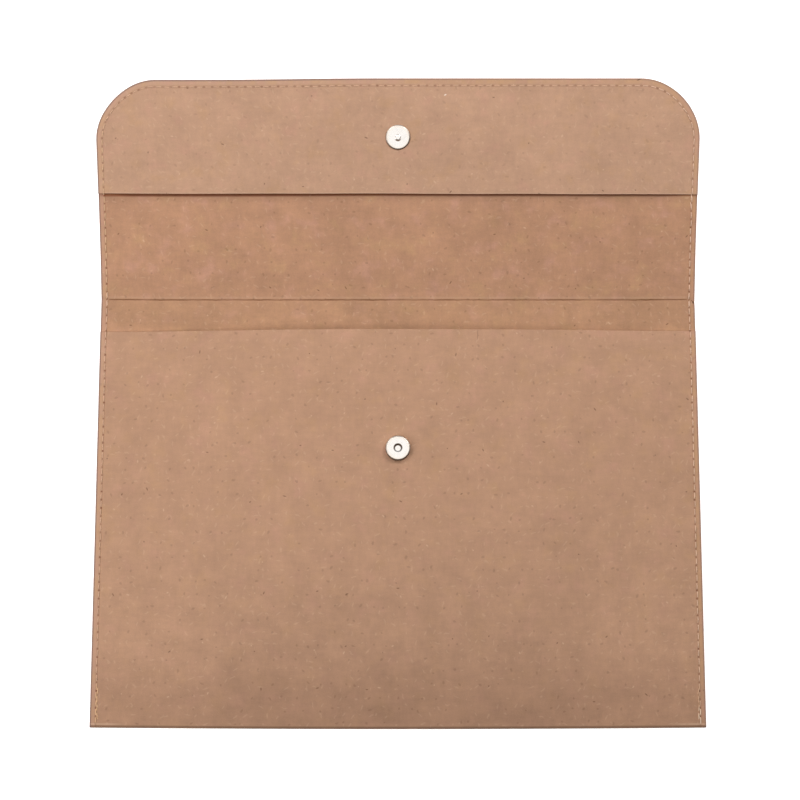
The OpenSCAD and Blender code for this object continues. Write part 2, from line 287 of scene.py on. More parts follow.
    def bow_at(self, share: Array, y: Array) -> Array:
        """Outward bow of the bottom fold: a parabola across that fades out up the body."""
        return self.bottom_bow * (1 - share * share) * clamp01(1 - (y - self.fold_y) / self.bow_reach)


@dataclass(frozen=True)
class Trim:
    """Unevenness of the cut: a flap and a mouth that run short on the left, a rounder corner, a nick."""

    pattern: Pattern
    skew: float = 0.8 * MM
    skew_from: float = 10 * MM
    skew_reach: float = 95 * MM
    mouth_skew: float = 0.5 * MM
    cut_off: Pair = (1.1 * MM, 0.5 * MM)
    nick_at: float = -1.6 * MM
    nick_depth: float = 0.15 * MM
    nick_w: float = 0.8 * MM
    nick_reach: float = 3 * MM
    mouth_reach: float = 25 * MM

    def place(self, x: Array, s: Array) -> tuple[Array, Array]:
        """Moves points of the even pattern to where they lie in the sheet as it was cut.

        The skew shortens the left half of the flap in proportion to the distance from the crease.
        In a corner a point moves towards the corner's centre by the square of the sine of twice
        its angle, times its share of the radius, times the left or the right cut_off.

        Args:
            x: Distance across the sheet.
            s: Length of sheet beyond the crease.

        Returns:
            The moved coordinates.
        """
        pat = self.pattern
        dx = np.maximum(np.abs(x) - pat.half_w + pat.corner_r, 0.0)
        ds = np.maximum(s - pat.flap_h + pat.corner_r, 0.0)
        far = np.maximum(np.hypot(dx, ds), 1e-9)
        cut_off = np.where(x < 0, *self.cut_off)
        pull = cut_off * np.square(2 * dx * ds / far**2) * far / pat.corner_r
        near = ease((x - pat.half_w + self.nick_reach) / self.nick_reach)
        nick = self.nick_depth * bell(s - self.nick_at, self.nick_w) * near
        short = self.skew * ease((-x - self.skew_from) / self.skew_reach) * clamp01(s / pat.flap_h)
        return x - np.sign(x) * pull * dx / far - nick, s - pull * ds / far - short

    def mouth(self, x: Array, front: Array, s: Array) -> Array:
        """Drop of the front panel's upper end towards the left, which fades out below the mouth."""
        near = clamp01(1 + (s + self.pattern.mouth_drop) / self.mouth_reach)
        return self.mouth_skew * ease(-x / self.pattern.half_w) * near * front


@dataclass(frozen=True)
class Seam:
    """The line of stitching, from the bottom corners up both sides and round the flap."""

    pattern: Pattern
    side: float = 3.2 * MM
    top: float = 4 * MM
    start: float = 2 * MM
    pitch: float = 4.6 * MM
    gap: float = 0.9 * MM
    thread_r: float = 0.29 * MM
    tack_count: int = 4
    step_ramp: float = 1 * MM
    step_clear: float = 1.2 * MM

    @property
    def side_run(self) -> float:
        """Length of seam from its lower end to the crease."""
        return self.pattern.body_h - self.start

    @property
    def flap_run(self) -> float:
        """Length of seam from the crease to the corner."""
        return self.pattern.flap_h - self.pattern.corner_r

    @property
    def corner_run(self) -> float:
        """Length of seam round a corner."""
        return math.pi / 4 * (2 * self.pattern.corner_r - self.side - self.top)

    @property
    def half_run(self) -> float:
        """Length of seam from the crease to the middle of the flap's tip."""
        return self.flap_run + self.corner_run + self.pattern.half_w - self.pattern.corner_r

    @property
    def side_count(self) -> int:
        """Number of stitches on each side of the body."""
        return round(self.side_run / self.pitch)

    @property
    def flap_count(self) -> int:
        """Number of stitches round the flap."""
        return round(2 * self.half_run / self.pitch)

    @property
    def side_pitch(self) -> float:
        """Length of a stitch with its gap on the body."""
        return self.side_run / self.side_count

    @property
    def flap_pitch(self) -> float:
        """Length of a stitch with its gap on the flap."""
        return 2 * self.half_run / self.flap_count

    @property
    def flap_quarters(self) -> Array:
        """Rows of points up the flap, four to a stitch."""
        return np.arange(4 * self.flap_count) * self.flap_pitch / 4

    def radius_at(self, turn: Array) -> Array:
        """Radius of the seam in the corner, which goes over from the side inset to the top inset."""
        return self.pattern.corner_r - self.side + (self.side - self.top) * turn * 2 / math.pi

    def place(self, p: Array) -> tuple[Array, Array, Array, Array]:
        """Finds points of the seam in the flat sheet.

        Up to the corner the seam runs along the side, then turns on its arc, and then runs along
        the tip. The second half mirrors it.

        Args:
            p: Distance along the seam from the crease on the right, negative on the body.

        Returns:
            Across and along coordinates of each point, and the same of the unit vector that
            points inwards from the edge.
        """
        pat = self.pattern
        left = p > self.half_run
        q = np.where(left, 2 * self.half_run - p, p)
        turn = clamp01((q - self.flap_run) / self.corner_run) * math.pi / 2
        r = self.radius_at(turn)
        x = pat.half_w - pat.corner_r + r * np.cos(turn)
        x = x - np.maximum(q - self.flap_run - self.corner_run, 0.0)
        s = np.minimum(q, self.flap_run) + r * np.sin(turn)
        flip = np.where(left, -1.0, 1.0)
        return flip * x, s, -flip * np.cos(turn), -np.sin(turn)

    def coordinates(self, x: Array, s: Array) -> tuple[Array, Array]:
        """Gives each point of the flat sheet its place relative to the seam.

        Args:
            x: Distance across the sheet.
            s: Length of sheet beyond the crease.

        Returns:
            Distance inwards from the seam, and the number of stitches to the point, whole at a
            needle hole.
        """
        pat = self.pattern
        dx = np.abs(x) - pat.half_w + pat.corner_r
        ds = s - self.flap_run
        turn = np.arctan2(np.maximum(ds, 0.0), np.maximum(dx, 1e-9))
        r = self.radius_at(turn)
        corner = (dx > 0) & (ds > 0)
        tip = (dx <= 0) & (ds > 0)
        across = np.where(corner, r - np.hypot(dx, ds), pat.half_w - self.side - np.abs(x))
        across = np.where(tip, pat.flap_h - self.top - s, across)
        along = np.where(corner, self.flap_run + self.corner_run * turn * 2 / math.pi, s)
        along = np.where(tip, self.flap_run + self.corner_run - dx, along)
        phase = np.where(s < 0, (s + self.side_run) / self.side_pitch, along / self.flap_pitch)
        return across, phase

    def top_at(self, s: Array) -> Array:
        """Height of the visible face above the flap's mid thickness, with a ramp at each step."""
        pat = self.pattern
        front = ease((self.step_clear - pat.mouth_drop - s) / self.step_ramp)
        facing = ease((s - pat.facing_start + self.step_clear) / self.step_ramp)
        step = pat.layer_gap + pat.paper_t * front + pat.facing_t * facing
        return pat.paper_t / 2 + step * np.maximum(front, facing)


def stretch(*values: Union[Array, float]) -> Array:
    """Stacks the values of a stretch of rows, where a single number holds for all its rows."""
    return np.stack(np.broadcast_arrays(*values))


@dataclass(frozen=True)
class Relief:
    """Small unevenness of the paper that the plain solids leave out."""

    pattern: Pattern
    seam: Seam
    swell: float = 0.22 * MM
    wave_lengths: tuple[float, ...] = (150 * MM, 110 * MM, 84 * MM, 61 * MM, 43 * MM)
    quiet: float = 14 * MM
    hole_r: float = 0.6 * MM
    hole_depth: float = 0.1 * MM
    furrow_w: float = 0.7 * MM
    furrow_depth: float = 0.05 * MM
    edge_round: float = 0.3 * MM
    crease_depth: float = 0.2 * MM
    crease_w: float = 0.45 * MM
    crease_sways: Pair = (0.12 * MM, 0.1 * MM)
    least_share: float = 0.35

    def waves(self, x: Array, along: Array) -> Array:
        """Slow swell of the paper: a sum of five plane waves, each with its own heading and length."""
        draw = np.random.default_rng(11)
        total = np.zeros(np.broadcast(x, along).shape)
        for length in self.wave_lengths:
            heading, shift = draw.uniform(0.0, 2 * math.pi, 2)
            path = x * math.cos(heading) + along * math.sin(heading)
            total = total + np.sin(2 * math.pi * path / length + shift) * length
        return self.swell * total / self.wave_lengths[0]

    def calm(self, x: Array, s: Array) -> Array:
        """Share of the swell that is left: none at the seams, the crease, the mouth or the snap."""
        pat = self.pattern
        socket_s = pat.socket_y - pat.crease_y
        sides = ease((pat.inset_at(x, s) - pat.seam_margin) / self.quiet)
        crease = ease(np.abs(s) / self.quiet)
        fold = ease((s + pat.body_h - pat.fold_lip) / self.quiet)
        stud = ease((np.hypot(x, s - pat.stud_reach) - pat.patch_r) / self.quiet)
        socket = ease((np.hypot(x, s - socket_s) - pat.patch_r) / self.quiet)
        return sides * crease * fold * stud * socket

    def crease_at(self, x: Array, s: Array) -> Array:
        """Depth of the pressed line along the crease, which wavers a little and ends at the seams."""
        wide, narrow = self.crease_sways
        sway = wide * np.sin(x / (9 * MM)) + narrow * np.sin(x / (3.7 * MM) + 1.0)
        ends = ease((self.seam.coordinates(x, s)[0] - 2 * MM) / (4 * MM))
        strength = 0.75 + 0.25 * np.sin(x / (13 * MM) + 0.6) * np.sin(x / (31 * MM))
        return self.crease_depth * bell(s - sway, self.crease_w) * ends * strength

    def pits(self, x: Array, s: Array) -> Array:
        """Depth of the needle holes and of the furrow that the thread presses between them."""
        across, phase = self.seam.coordinates(x, s)
        nearest = np.abs(phase - np.round(phase)) * self.seam.pitch
        hole = self.hole_depth * bell(np.hypot(across, nearest), self.hole_r)
        furrow = self.furrow_depth * bell(across, self.furrow_w)
        ends = ease((s + self.seam.side_run + self.seam.pitch / 2) / (1 * MM))
        return (hole + furrow) * ends

    def thinned(self, rim: Array) -> Array:
        """Share of the thickness that is left near a cut edge: a quarter circle over edge_round."""
        d = 1 - clamp01(rim / self.edge_round)
        return self.least_share + (1 - self.least_share) * np.sqrt(np.maximum(1 - d * d, 0.0))


@dataclass
class Surface:
    """A finished shape, ready to become a mesh."""

    points: Array
    faces: Array
    values: Mapping[str, Array]

    def to_object(self, name: str, crisp: float) -> Thing:
        """Makes the Blender object.

        Args:
            name: Name of the piece.
            crisp: Angle between two faces, in radians, beyond which their edge stays sharp.

        Returns:
            The object, at the origin, with its values stored as vector attributes.
        """
        mesh = bpy.data.meshes.new(name)
        mesh.vertices.add(len(self.points))
        mesh.vertices.foreach_set("co", self.points.astype(np.float32).ravel())
        mesh.loops.add(self.faces.size)
        mesh.loops.foreach_set("vertex_index", self.faces.astype(np.int32).ravel())
        mesh.polygons.add(len(self.faces))
        starts = np.arange(len(self.faces), dtype=np.int32) * self.faces.shape[1]
        mesh.polygons.foreach_set("loop_start", starts)
        mesh.update(calc_edges=True)
        mesh.polygons.foreach_set("use_smooth", np.ones(len(self.faces), dtype=bool))
        mesh.set_sharp_from_angle(angle=crisp)
        for key, value in self.values.items():
            layer = mesh.attributes.new(key, "FLOAT_VECTOR", "POINT")
            layer.data.foreach_set("vector", value.astype(np.float32).ravel())
        mesh.validate()
        return linked(name, mesh)


def linked(name: str, data: bpy.types.ID) -> Thing:
    """Makes an object of the data and puts it into the scene."""
    thing = bpy.data.objects.new(name, data)
    bpy.context.scene.collection.objects.link(thing)
    return thing


def aim(thing: Thing, away: Triple, target: Triple = (0.0, 0.0, 0.0)) -> None:
    """Puts a lamp or the camera at its distance from the target, and turns it to look at that."""
    thing.location = Vector(target) + Vector(away)
    thing.rotation_euler = (-Vector(away)).to_track_quat("-Z", "Y").to_euler()


def shell(outer: Array, inner: Array) -> tuple[Array, Array]:
    """Joins two like grids of points along their rims into one closed shell.

    Args:
        outer: Points of the face whose normals point outwards, rows by columns by 3.
        inner: Points of the opposite face, on the same grid.

    Returns:
        The points as one list, and the faces as quads.
    """
    rows, cols = outer.shape[:2]
    a = np.arange(rows * cols).reshape(rows, cols)
    b = a + rows * cols

    def quads(p: Array, q: Array, r: Array, t: Array) -> Array:
        """Stacks four like arrays of corners into a list of quads."""
        return np.stack([p.ravel(), q.ravel(), r.ravel(), t.ravel()], axis=1)

    faces = np.concatenate([
        quads(a[:-1, :-1], a[1:, :-1], a[1:, 1:], a[:-1, 1:]),
        quads(b[:-1, :-1], b[:-1, 1:], b[1:, 1:], b[1:, :-1]),
        quads(a[:-1, 0], b[:-1, 0], b[1:, 0], a[1:, 0]),
        quads(a[1:, -1], b[1:, -1], b[:-1, -1], a[:-1, -1]),
        quads(a[0, 1:], b[0, 1:], b[0, :-1], a[0, :-1]),
        quads(a[-1, :-1], b[-1, :-1], b[-1, 1:], a[-1, 1:]),
    ])
    points = np.concatenate([outer.reshape(-1, 3), inner.reshape(-1, 3)])
    return points, faces


def tubes(paths: Array, ups: Array, radii: Array, sides: int, flat: float) -> tuple[Array, Array]:
    """Lays one closed tube along each path.

    A ring of points stands square to the path at each of its stations: the sideways vector is the
    tangent crossed with the up vector, and the ring is the cosine times it plus the sine times the
    remaining direction, which is pressed flat a little.

    Args:
        paths: Stations of each path, paths by rings by 3.
        ups: Up vectors, of the same shape.
        radii: Radius at each station, paths by rings.
        sides: Number of points in a ring, which has to be 8.
        flat: Height of a ring as a share of its width.

    Returns:
        The points as one list, and the faces as quads, three of which close each end.
    """
    count, rings = paths.shape[:2]
    tangent = np.gradient(paths, axis=1)
    across = np.cross(tangent, ups)
    across /= np.linalg.norm(across, axis=2, keepdims=True)
    rise = np.cross(across, tangent)
    rise /= np.linalg.norm(rise, axis=2, keepdims=True)
    angle = np.arange(sides) * 2 * math.pi / sides
    ring = np.cos(angle)[:, None] * across[:, :, None, :]
    ring = ring + flat * np.sin(angle)[:, None] * rise[:, :, None, :]
    points = paths[:, :, None, :] + radii[:, :, None, None] * ring
    index = np.arange(count * rings * sides).reshape(count, rings, sides)
    near = index[:, :-1]
    far = index[:, 1:]
    walls = np.stack([near, np.roll(near, -1, 2), np.roll(far, -1, 2), far], axis=-1).reshape(-1, 4)
    corners = np.array([[0, 1, 2, 3], [0, 3, 4, 7], [4, 5, 6, 7]])
    starts = index[:, 0][:, corners[:, ::-1]].reshape(-1, 4)
    ends = index[:, -1][:, corners].reshape(-1, 4)
    return points.reshape(-1, 3), np.concatenate([walls, starts, ends])


@dataclass(frozen=True)
class PaperPiece:
    """What each piece of paper and each thread is measured from."""

    pattern: Pattern
    seam: Seam
    relief: Relief
    trim: Trim

    def closed(self, grids: Sequence[Array], x: Array, s: Array, along: Array, rim: Array) -> Surface:
        """Closes both faces into a shell that carries what the paper's finish reads.

        That is "flat", across and along the flat sheet and 0 outside or 1 inside; "seam", inwards
        from the seam, stitches along it and to a cut edge; and "crease", across, beyond the crease
        and inwards from the outline. Lengths are in millimetres.

        Args:
            grids: Points of the outer and the inner face.
            x: Distance across the sheet.
            s: Length of sheet beyond the crease.
            along: Place along the flat sheet.
            rim: Distance to a cut edge.

        Returns:
            The closed piece.
        """
        points, faces = shell(*grids)
        across, phase = self.seam.coordinates(x, s)
        kinds = {
            "flat": (x / MM, along / MM, 0.0),
            "seam": (across / MM, phase, rim / MM),
            "crease": (x / MM, s / MM, self.pattern.inset_at(x, s) / MM),
        }
        values = {}
        for name, parts in kinds.items():
            face = np.stack(np.broadcast_arrays(*parts), axis=-1).reshape(-1, 3)
            values[name] = np.concatenate([face, face])
        values["flat"][len(face):, 2] = 1.0
        return Surface(points, faces, values)


@dataclass(frozen=True)
class FoldedSheet(PaperPiece):
    """The one sheet that forms front panel, bottom fold, back panel and flap."""

    middle_step: float = 4.6 * MM
    hidden_step: float = 2.6 * MM
    fold_tuck: float = 0.15 * MM
    corner_tuck: float = 1.6
    tuck_reach: float = 3 * MM
    least_step: float = 0.06 * MM
    hidden_least: float = 0.3 * MM
    flap_least: float = 0.25 * MM
    above_lip: float = 4.2 * MM
    below_rim: float = 1.2 * MM
    by_crease: float = 2 * MM

    def shares(self) -> Array:
        """Stations across, as shares of the half width: close together near the edges and the seam."""
        half = self.pattern.half_w
        count = round((half - self.pattern.seam_margin) / self.middle_step)
        middle = np.linspace(0, half - self.pattern.seam_margin, count, endpoint=False)
        right = np.sort(np.concatenate([middle[1:], half - EDGE_STEPS]))
        return np.concatenate([-right[::-1], [0.0], right]) / half

    def rows(self) -> Array:
        """Works out the rows of points down the sheet, from the mouth round the fold to the tip.

        Returns:
            For each row its place and height, the turn of its outside normal, half its width, 1 on
            the front panel or 0 beyond it, and its place beyond the crease and along the flat sheet.
        """
        pat = self.pattern
        rim = EDGE_STEPS[:4]
        quarter = -self.seam.side_run + np.arange(4 * self.seam.side_count + 1) * self.seam.side_pitch / 4
        fold_s = pat.fold_y - pat.crease_y
        lip = fold_s + np.array([0.5, 1.0, 1.6, 2.5, 3.2, 4.0]) * MM
        visible = quarter[(quarter < -pat.mouth_drop) & (quarter > fold_s + self.above_lip)]
        front = merged(self.least_step, visible, lip, -pat.mouth_drop - rim)[::-1]
        bends = np.linspace(0, math.pi, 11)
        back = merged(
            self.hidden_least,
            np.arange(fold_s + self.hidden_step, -pat.mouth_drop - 2 * MM, self.hidden_step),
            quarter[(quarter > -pat.mouth_drop - 3 * MM) & (quarter < -self.by_crease)],
        )
        crease = np.linspace(-1.6, 1.6, 17) * MM
        stitch = self.seam.flap_quarters
        corner = pat.corner_rows
        flap = merged(
            self.flap_least,
            stitch[(stitch > self.by_crease) & (stitch < pat.flap_h - self.below_rim)],
            corner[corner < pat.flap_h - self.below_rim / 2],
        )
        flap_s = np.concatenate([crease, flap, pat.flap_h - rim[::-1]])
        y, z, slope = pat.flap_at(flap_s)
        gap = 2 * pat.fold_r
        sines = pat.fold_r * np.sin(bends)
        return np.concatenate([
            stretch(pat.crease_y + front, pat.front_z, 0.0, pat.half_w, 1.0, front, -front),
            stretch(
                pat.fold_y - sines, pat.back_z + pat.fold_r * (1 + np.cos(bends)), bends,
                pat.half_w, 0.0, fold_s - sines, -fold_s + bends * pat.fold_r,
            ),
            stretch(
                pat.crease_y + back, pat.back_z, math.pi,
                pat.half_w, 0.0, back, -2 * fold_s + back + gap,
            ),
            stretch(
                pat.crease_y + y, pat.back_z + z, math.pi + slope,
                pat.edge_at(flap_s), 0.0, flap_s, -2 * fold_s + flap_s + gap,
            ),
        ], axis=1)

    def build(self) -> Surface:
        """Works out both faces of the sheet.

        A row's place plus an offset along its outside normal gives a point; the pillow, the lift
        of the margins and the swell add to it, and the crease line, the needle holes and the
        rounded cut edges take from the offset.

        Returns:
            The closed sheet, with its flat coordinates and its place relative to the seam.
        """
        pat = self.pattern
        row_y, row_z, turn, half, front, s, flat = self.rows()[..., None]
        share = self.shares()[None, :]
        x = share * half
        rim = np.minimum(pat.inset_at(x, s), flat - pat.mouth_drop)
        folded = clamp01((s + pat.body_h - pat.fold_lip) / (2 * MM))
        near_fold = ease((pat.fold_y - pat.crease_y + self.tuck_reach - s) / self.tuck_reach)
        tuck = self.fold_tuck * (1 + self.corner_tuck * share**2) * near_fold
        visible_side = np.where(front > 0.5, 1.0, -1.0)
        swell = self.relief.waves(x, s) * self.relief.calm(x, s)
        lie = visible_side * swell * np.where(front > 0.5, 1.0, clamp01(s / (1 * MM)))
        groove = self.relief.crease_at(x, s) * (1 - front)
        half_t = pat.paper_t / 2 * self.relief.thinned(rim) - self.relief.pits(x, s) * folded
        rise = front * pat.pillow_at(x, row_y) + pat.lift_at(x, s)
        bow = np.where(s < 0, pat.bow_at(share, row_y) - tuck, 0.0)
        cut_x, cut_s = self.trim.place(x, s)
        even_y, even_z, _ = pat.flap_at(s)
        cut_y, cut_z, _ = pat.flap_at(cut_s)
        on_flap = s > 0
        rise = rise + np.where(on_flap, cut_z - even_z, 0.0)
        bow = bow - np.where(on_flap, cut_y - even_y, 0.0) + self.trim.mouth(x, front, s)
        grids = []
        for offset in (half_t + lie, groove - half_t + lie):
            y = row_y - offset * np.sin(turn) - bow
            z = row_z + offset * np.cos(turn) + rise
            grids.append(np.stack([cut_x, y, z], axis=-1))
        return self.closed(grids, x, s, flat, rim)


@dataclass(frozen=True)
class Facing(PaperPiece):
    """The strip that lines the flap's tip and carries the stud half of the snap."""

    flat_start: float = 700 * MM
    curl: float = 0.25 * MM
    curl_reach: float = 9 * MM
    askew: float = 0.5 * MM
    low: float = 0.2 * MM
    waver: float = 0.12 * MM
    from_margin: float = 16 * MM
    least_step: float = 0.06 * MM

    def build(self) -> Surface:
        """Works out both faces of the facing, which follow the flap at their own small distance.

        Returns:
            The closed facing, with its flat coordinates and its place relative to the seam.
        """
        pat = self.pattern
        rim_rows = EDGE_STEPS[:4]
        quarter = self.seam.flap_quarters
        corner = pat.corner_rows
        seam_row = pat.flap_h - self.seam.top
        s = merged(
            self.least_step,
            quarter[(quarter > pat.facing_start + 1 * MM) & (quarter < seam_row - 0.6 * MM)],
            np.linspace(seam_row, pat.flap_h - 1.1 * MM, 4),
            corner[(corner > seam_row) & (corner < pat.flap_h - 0.6 * MM)],
            pat.facing_start + rim_rows,
            pat.flap_h - rim_rows,
        )
        seam_half = pat.edge_at(np.array([seam_row]))[0]
        steps = np.arange(0.5, 4 * seam_half / self.seam.flap_pitch, 1.0) - 0.5
        middle = steps * self.seam.flap_pitch / 4 / seam_half
        near_edge = 1 - EDGE_STEPS[:8] / pat.half_w
        right = merged(0.03 * MM, middle[middle < 1 - 5 * MM / pat.half_w], near_edge)
        share = np.concatenate([-right[:0:-1], right])[None, :]
        s = s[:, None]
        x = share * pat.edge_at(s)
        towards_edge = (pat.flap_h - s) / pat.facing_h
        wavering = self.waver * np.sin(x / (17 * MM)) * np.sin(x / (41 * MM) + 0.7)
        lean = (self.low + self.askew * x / pat.half_w + wavering) * towards_edge
        cut_x, cut_s = self.trim.place(x, s - lean)
        inset = pat.inset_at(x, s)
        rim = np.minimum(inset, s - pat.facing_start)
        thick = pat.facing_t * self.relief.thinned(rim) - self.relief.pits(x, s)
        swell = self.relief.waves(x, s) * self.relief.calm(x, s)
        from_seam = ease((inset - pat.seam_margin) / self.from_margin)
        sway = 0.7 + 0.3 * np.sin(x / (23 * MM) + 0.4) * np.sin(x / (7.1 * MM))
        curl = self.curl * bell(s - pat.facing_start, self.curl_reach) * from_seam * sway
        low = pat.paper_t / 2 + pat.layer_gap + pat.facing_rise_at(x, s) + swell + curl
        mid = low + pat.facing_t / 2
        lift = pat.lift_at(x, s)
        grids = [pat.above(cut_x, cut_s, mid + half_t, lift) for half_t in (-thick / 2, thick / 2)]
        return self.closed(grids, x, s, s + self.flat_start, rim)


class Side(Enum):
    """The two sides of the paper that a thread lies on."""

    NEEDLE = 1.0
    BOBBIN = -1.0


@dataclass(frozen=True)
class Thread(PaperPiece):
    """One of the two threads of the seam, as the row of stitches that lie on its side of the paper."""

    side: Side
    rings: int = 7
    sides: int = 8
    flat: float = 0.82
    rest: float = 0.24 * MM
    dip: float = 0.62 * MM
    sunk: float = 0.17 * MM
    wander: float = 0.1 * MM
    tack_shift: float = 0.75 * MM
    rest_spread: float = 0.03 * MM
    sink_start: float = 16 * MM
    sink_reach: float = 8 * MM
    resewn: tuple[tuple[float, float, float, bool], ...] = (
        (52 * MM, 61 * MM, 0.35 * MM, False),
        (-5 * MM, 4 * MM, 0.3 * MM, False),
        (-4 * MM, 5 * MM, 0.3 * MM, True),
    )

    def runs(self) -> list[tuple[float, float, float, bool]]:
        """Lists the rows of stitches as start, end, shift inwards and whether they lie on the left."""
        seam = self.seam
        tack = seam.tack_count * seam.side_pitch
        half = seam.side_pitch / 2
        low = -seam.side_run
        rows = []
        for left in (False, True):
            rows.append((low, 0.0, 0.0, left))
            rows.append((low + half, low + half + tack, self.tack_shift, left))
        rows.append((0.0, 2 * seam.half_run, 0.0, False))
        return [*rows, *self.resewn] if self.side is Side.NEEDLE else rows

    def build(self) -> Surface:
        """Works out every stitch at once.

        A stitch follows the seam between two holes. Its height over the paper is a resting height
        less the fourth power of the way to its ends, so that both ends dip into their holes, and
        the thread gets thinner there.

        Returns:
            The stitches, with each point's turn round its thread and its way along it.
        """
        seam = self.seam
        pat = self.pattern
        ends = []
        for start, end, shift, left in self.runs():
            count = max(1, round((end - start) / seam.pitch))
            pitch = (end - start) / count
            first = start + np.arange(count) * pitch
            ends.append(np.stack([
                first + seam.gap / 2,
                first + pitch - seam.gap / 2,
                np.full(count, shift),
                np.full(count, -1.0 if left else 1.0),
            ], axis=1))
        table = np.concatenate(ends)
        count = len(table)
        draw = np.random.default_rng(5 if self.side is Side.NEEDLE else 6)
        t = np.linspace(0, 1, self.rings)[None, :]
        p = table[:, :1] * (1 - t) + table[:, 1:2] * t
        x, s, in_x, in_s = seam.place(p)
        shift = draw.normal(0.0, self.wander, (count, 1))
        drift = shift + draw.normal(0.0, self.wander, (count, 1)) * (t - 0.5)
        crossing = np.where(table[:, 2:3] > 0, (t - 0.5) * draw.uniform(-1.0, 1.0, (count, 1)), 0.0)
        inwards = table[:, 2:3] * (1 + crossing) + drift
        x = table[:, 3:4] * (x + in_x * inwards)
        s = s + in_s * inwards
        face = seam.top_at(s) if self.side is Side.NEEDLE else pat.paper_t / 2
        rest = self.rest + draw.normal(0.0, self.rest_spread, (count, 1))
        rest = rest - self.sunk * ease((s - pat.flap_h + self.sink_start) / self.sink_reach)
        height = face + rest - self.dip * np.power(np.abs(2 * t - 1), 4)
        height = height * self.side.value
        cut_x, cut_s = self.trim.place(x, s)
        paths = pat.above(cut_x, cut_s, height, pat.lift_at(x, s))
        slope = pat.flap_at(cut_s)[2]
        ups = np.stack([np.zeros_like(slope), -np.sin(slope), np.cos(slope)], axis=-1) * self.side.value
        radii = seam.thread_r * (1 - 0.3 * np.power(np.abs(2 * t - 1), 3)) * np.ones((count, 1))
        points, faces = tubes(paths, ups, radii, self.sides, self.flat)
        angle = np.arange(self.sides) * 2 * math.pi / self.sides
        shape = (count, self.rings, self.sides)
        turn = np.stack([
            np.broadcast_to(np.cos(angle), shape),
            np.broadcast_to(np.sin(angle), shape),
            np.broadcast_to(p[:, :, None] / MM, shape),
        ], axis=-1)
        return Surface(points, faces, {"turn": turn.reshape(-1, 3)})


Number = Union["Term", float, int]


class Term:
    """A value that varies over a surface: one output of a shader node, with arithmetic on it."""

    def __init__(self, finish: Shader, socket: bpy.types.NodeSocket) -> None:
        """Wraps an output socket of a node in a shader."""
        self.finish = finish
        self.socket = socket

    def math(self, operation: str, *others: Number) -> Term:
        """Adds a Math node on this value and others, in that order."""
        return self.finish.maths(operation, self, *others)

    def __add__(self, other: Number) -> Term:
        """Returns the sum."""
        return self.math("ADD", other)

    __radd__ = __add__

    def __sub__(self, other: Number) -> Term:
        """Returns this value less the other."""
        return self.math("SUBTRACT", other)

    def __rsub__(self, other: Number) -> Term:
        """Returns the other value less this one."""
        return self.finish.maths("SUBTRACT", other, self)

    def __mul__(self, other: Number) -> Term:
        """Returns the product."""
        return self.math("MULTIPLY", other)

    __rmul__ = __mul__

    def __truediv__(self, other: Number) -> Term:
        """Returns this value divided by the other."""
        return self.math("DIVIDE", other)

    def size(self) -> Term:
        """Returns this value without its sign."""
        return self.math("ABSOLUTE")

    def fade(self, start: float, end: float) -> Term:
        """Returns a smooth step from 0 where this value is start to 1 where it is end."""
        low, high = (start, end) if start < end else (end, start)
        near, far = (0.0, 1.0) if start < end else (1.0, 0.0)
        return self.finish.add(
            "ShaderNodeMapRange",
            {"interpolation_type": "SMOOTHSTEP"},
            {"Value": self, "From Min": low, "From Max": high, "To Min": near, "To Max": far},
            "Result",
        )


@dataclass(frozen=True)
class Scatter:
    """Short strands, at most one in each cell: cell and longest strand in millimetres."""

    seed: float
    cell: float
    length: float
    width: float
    share: float


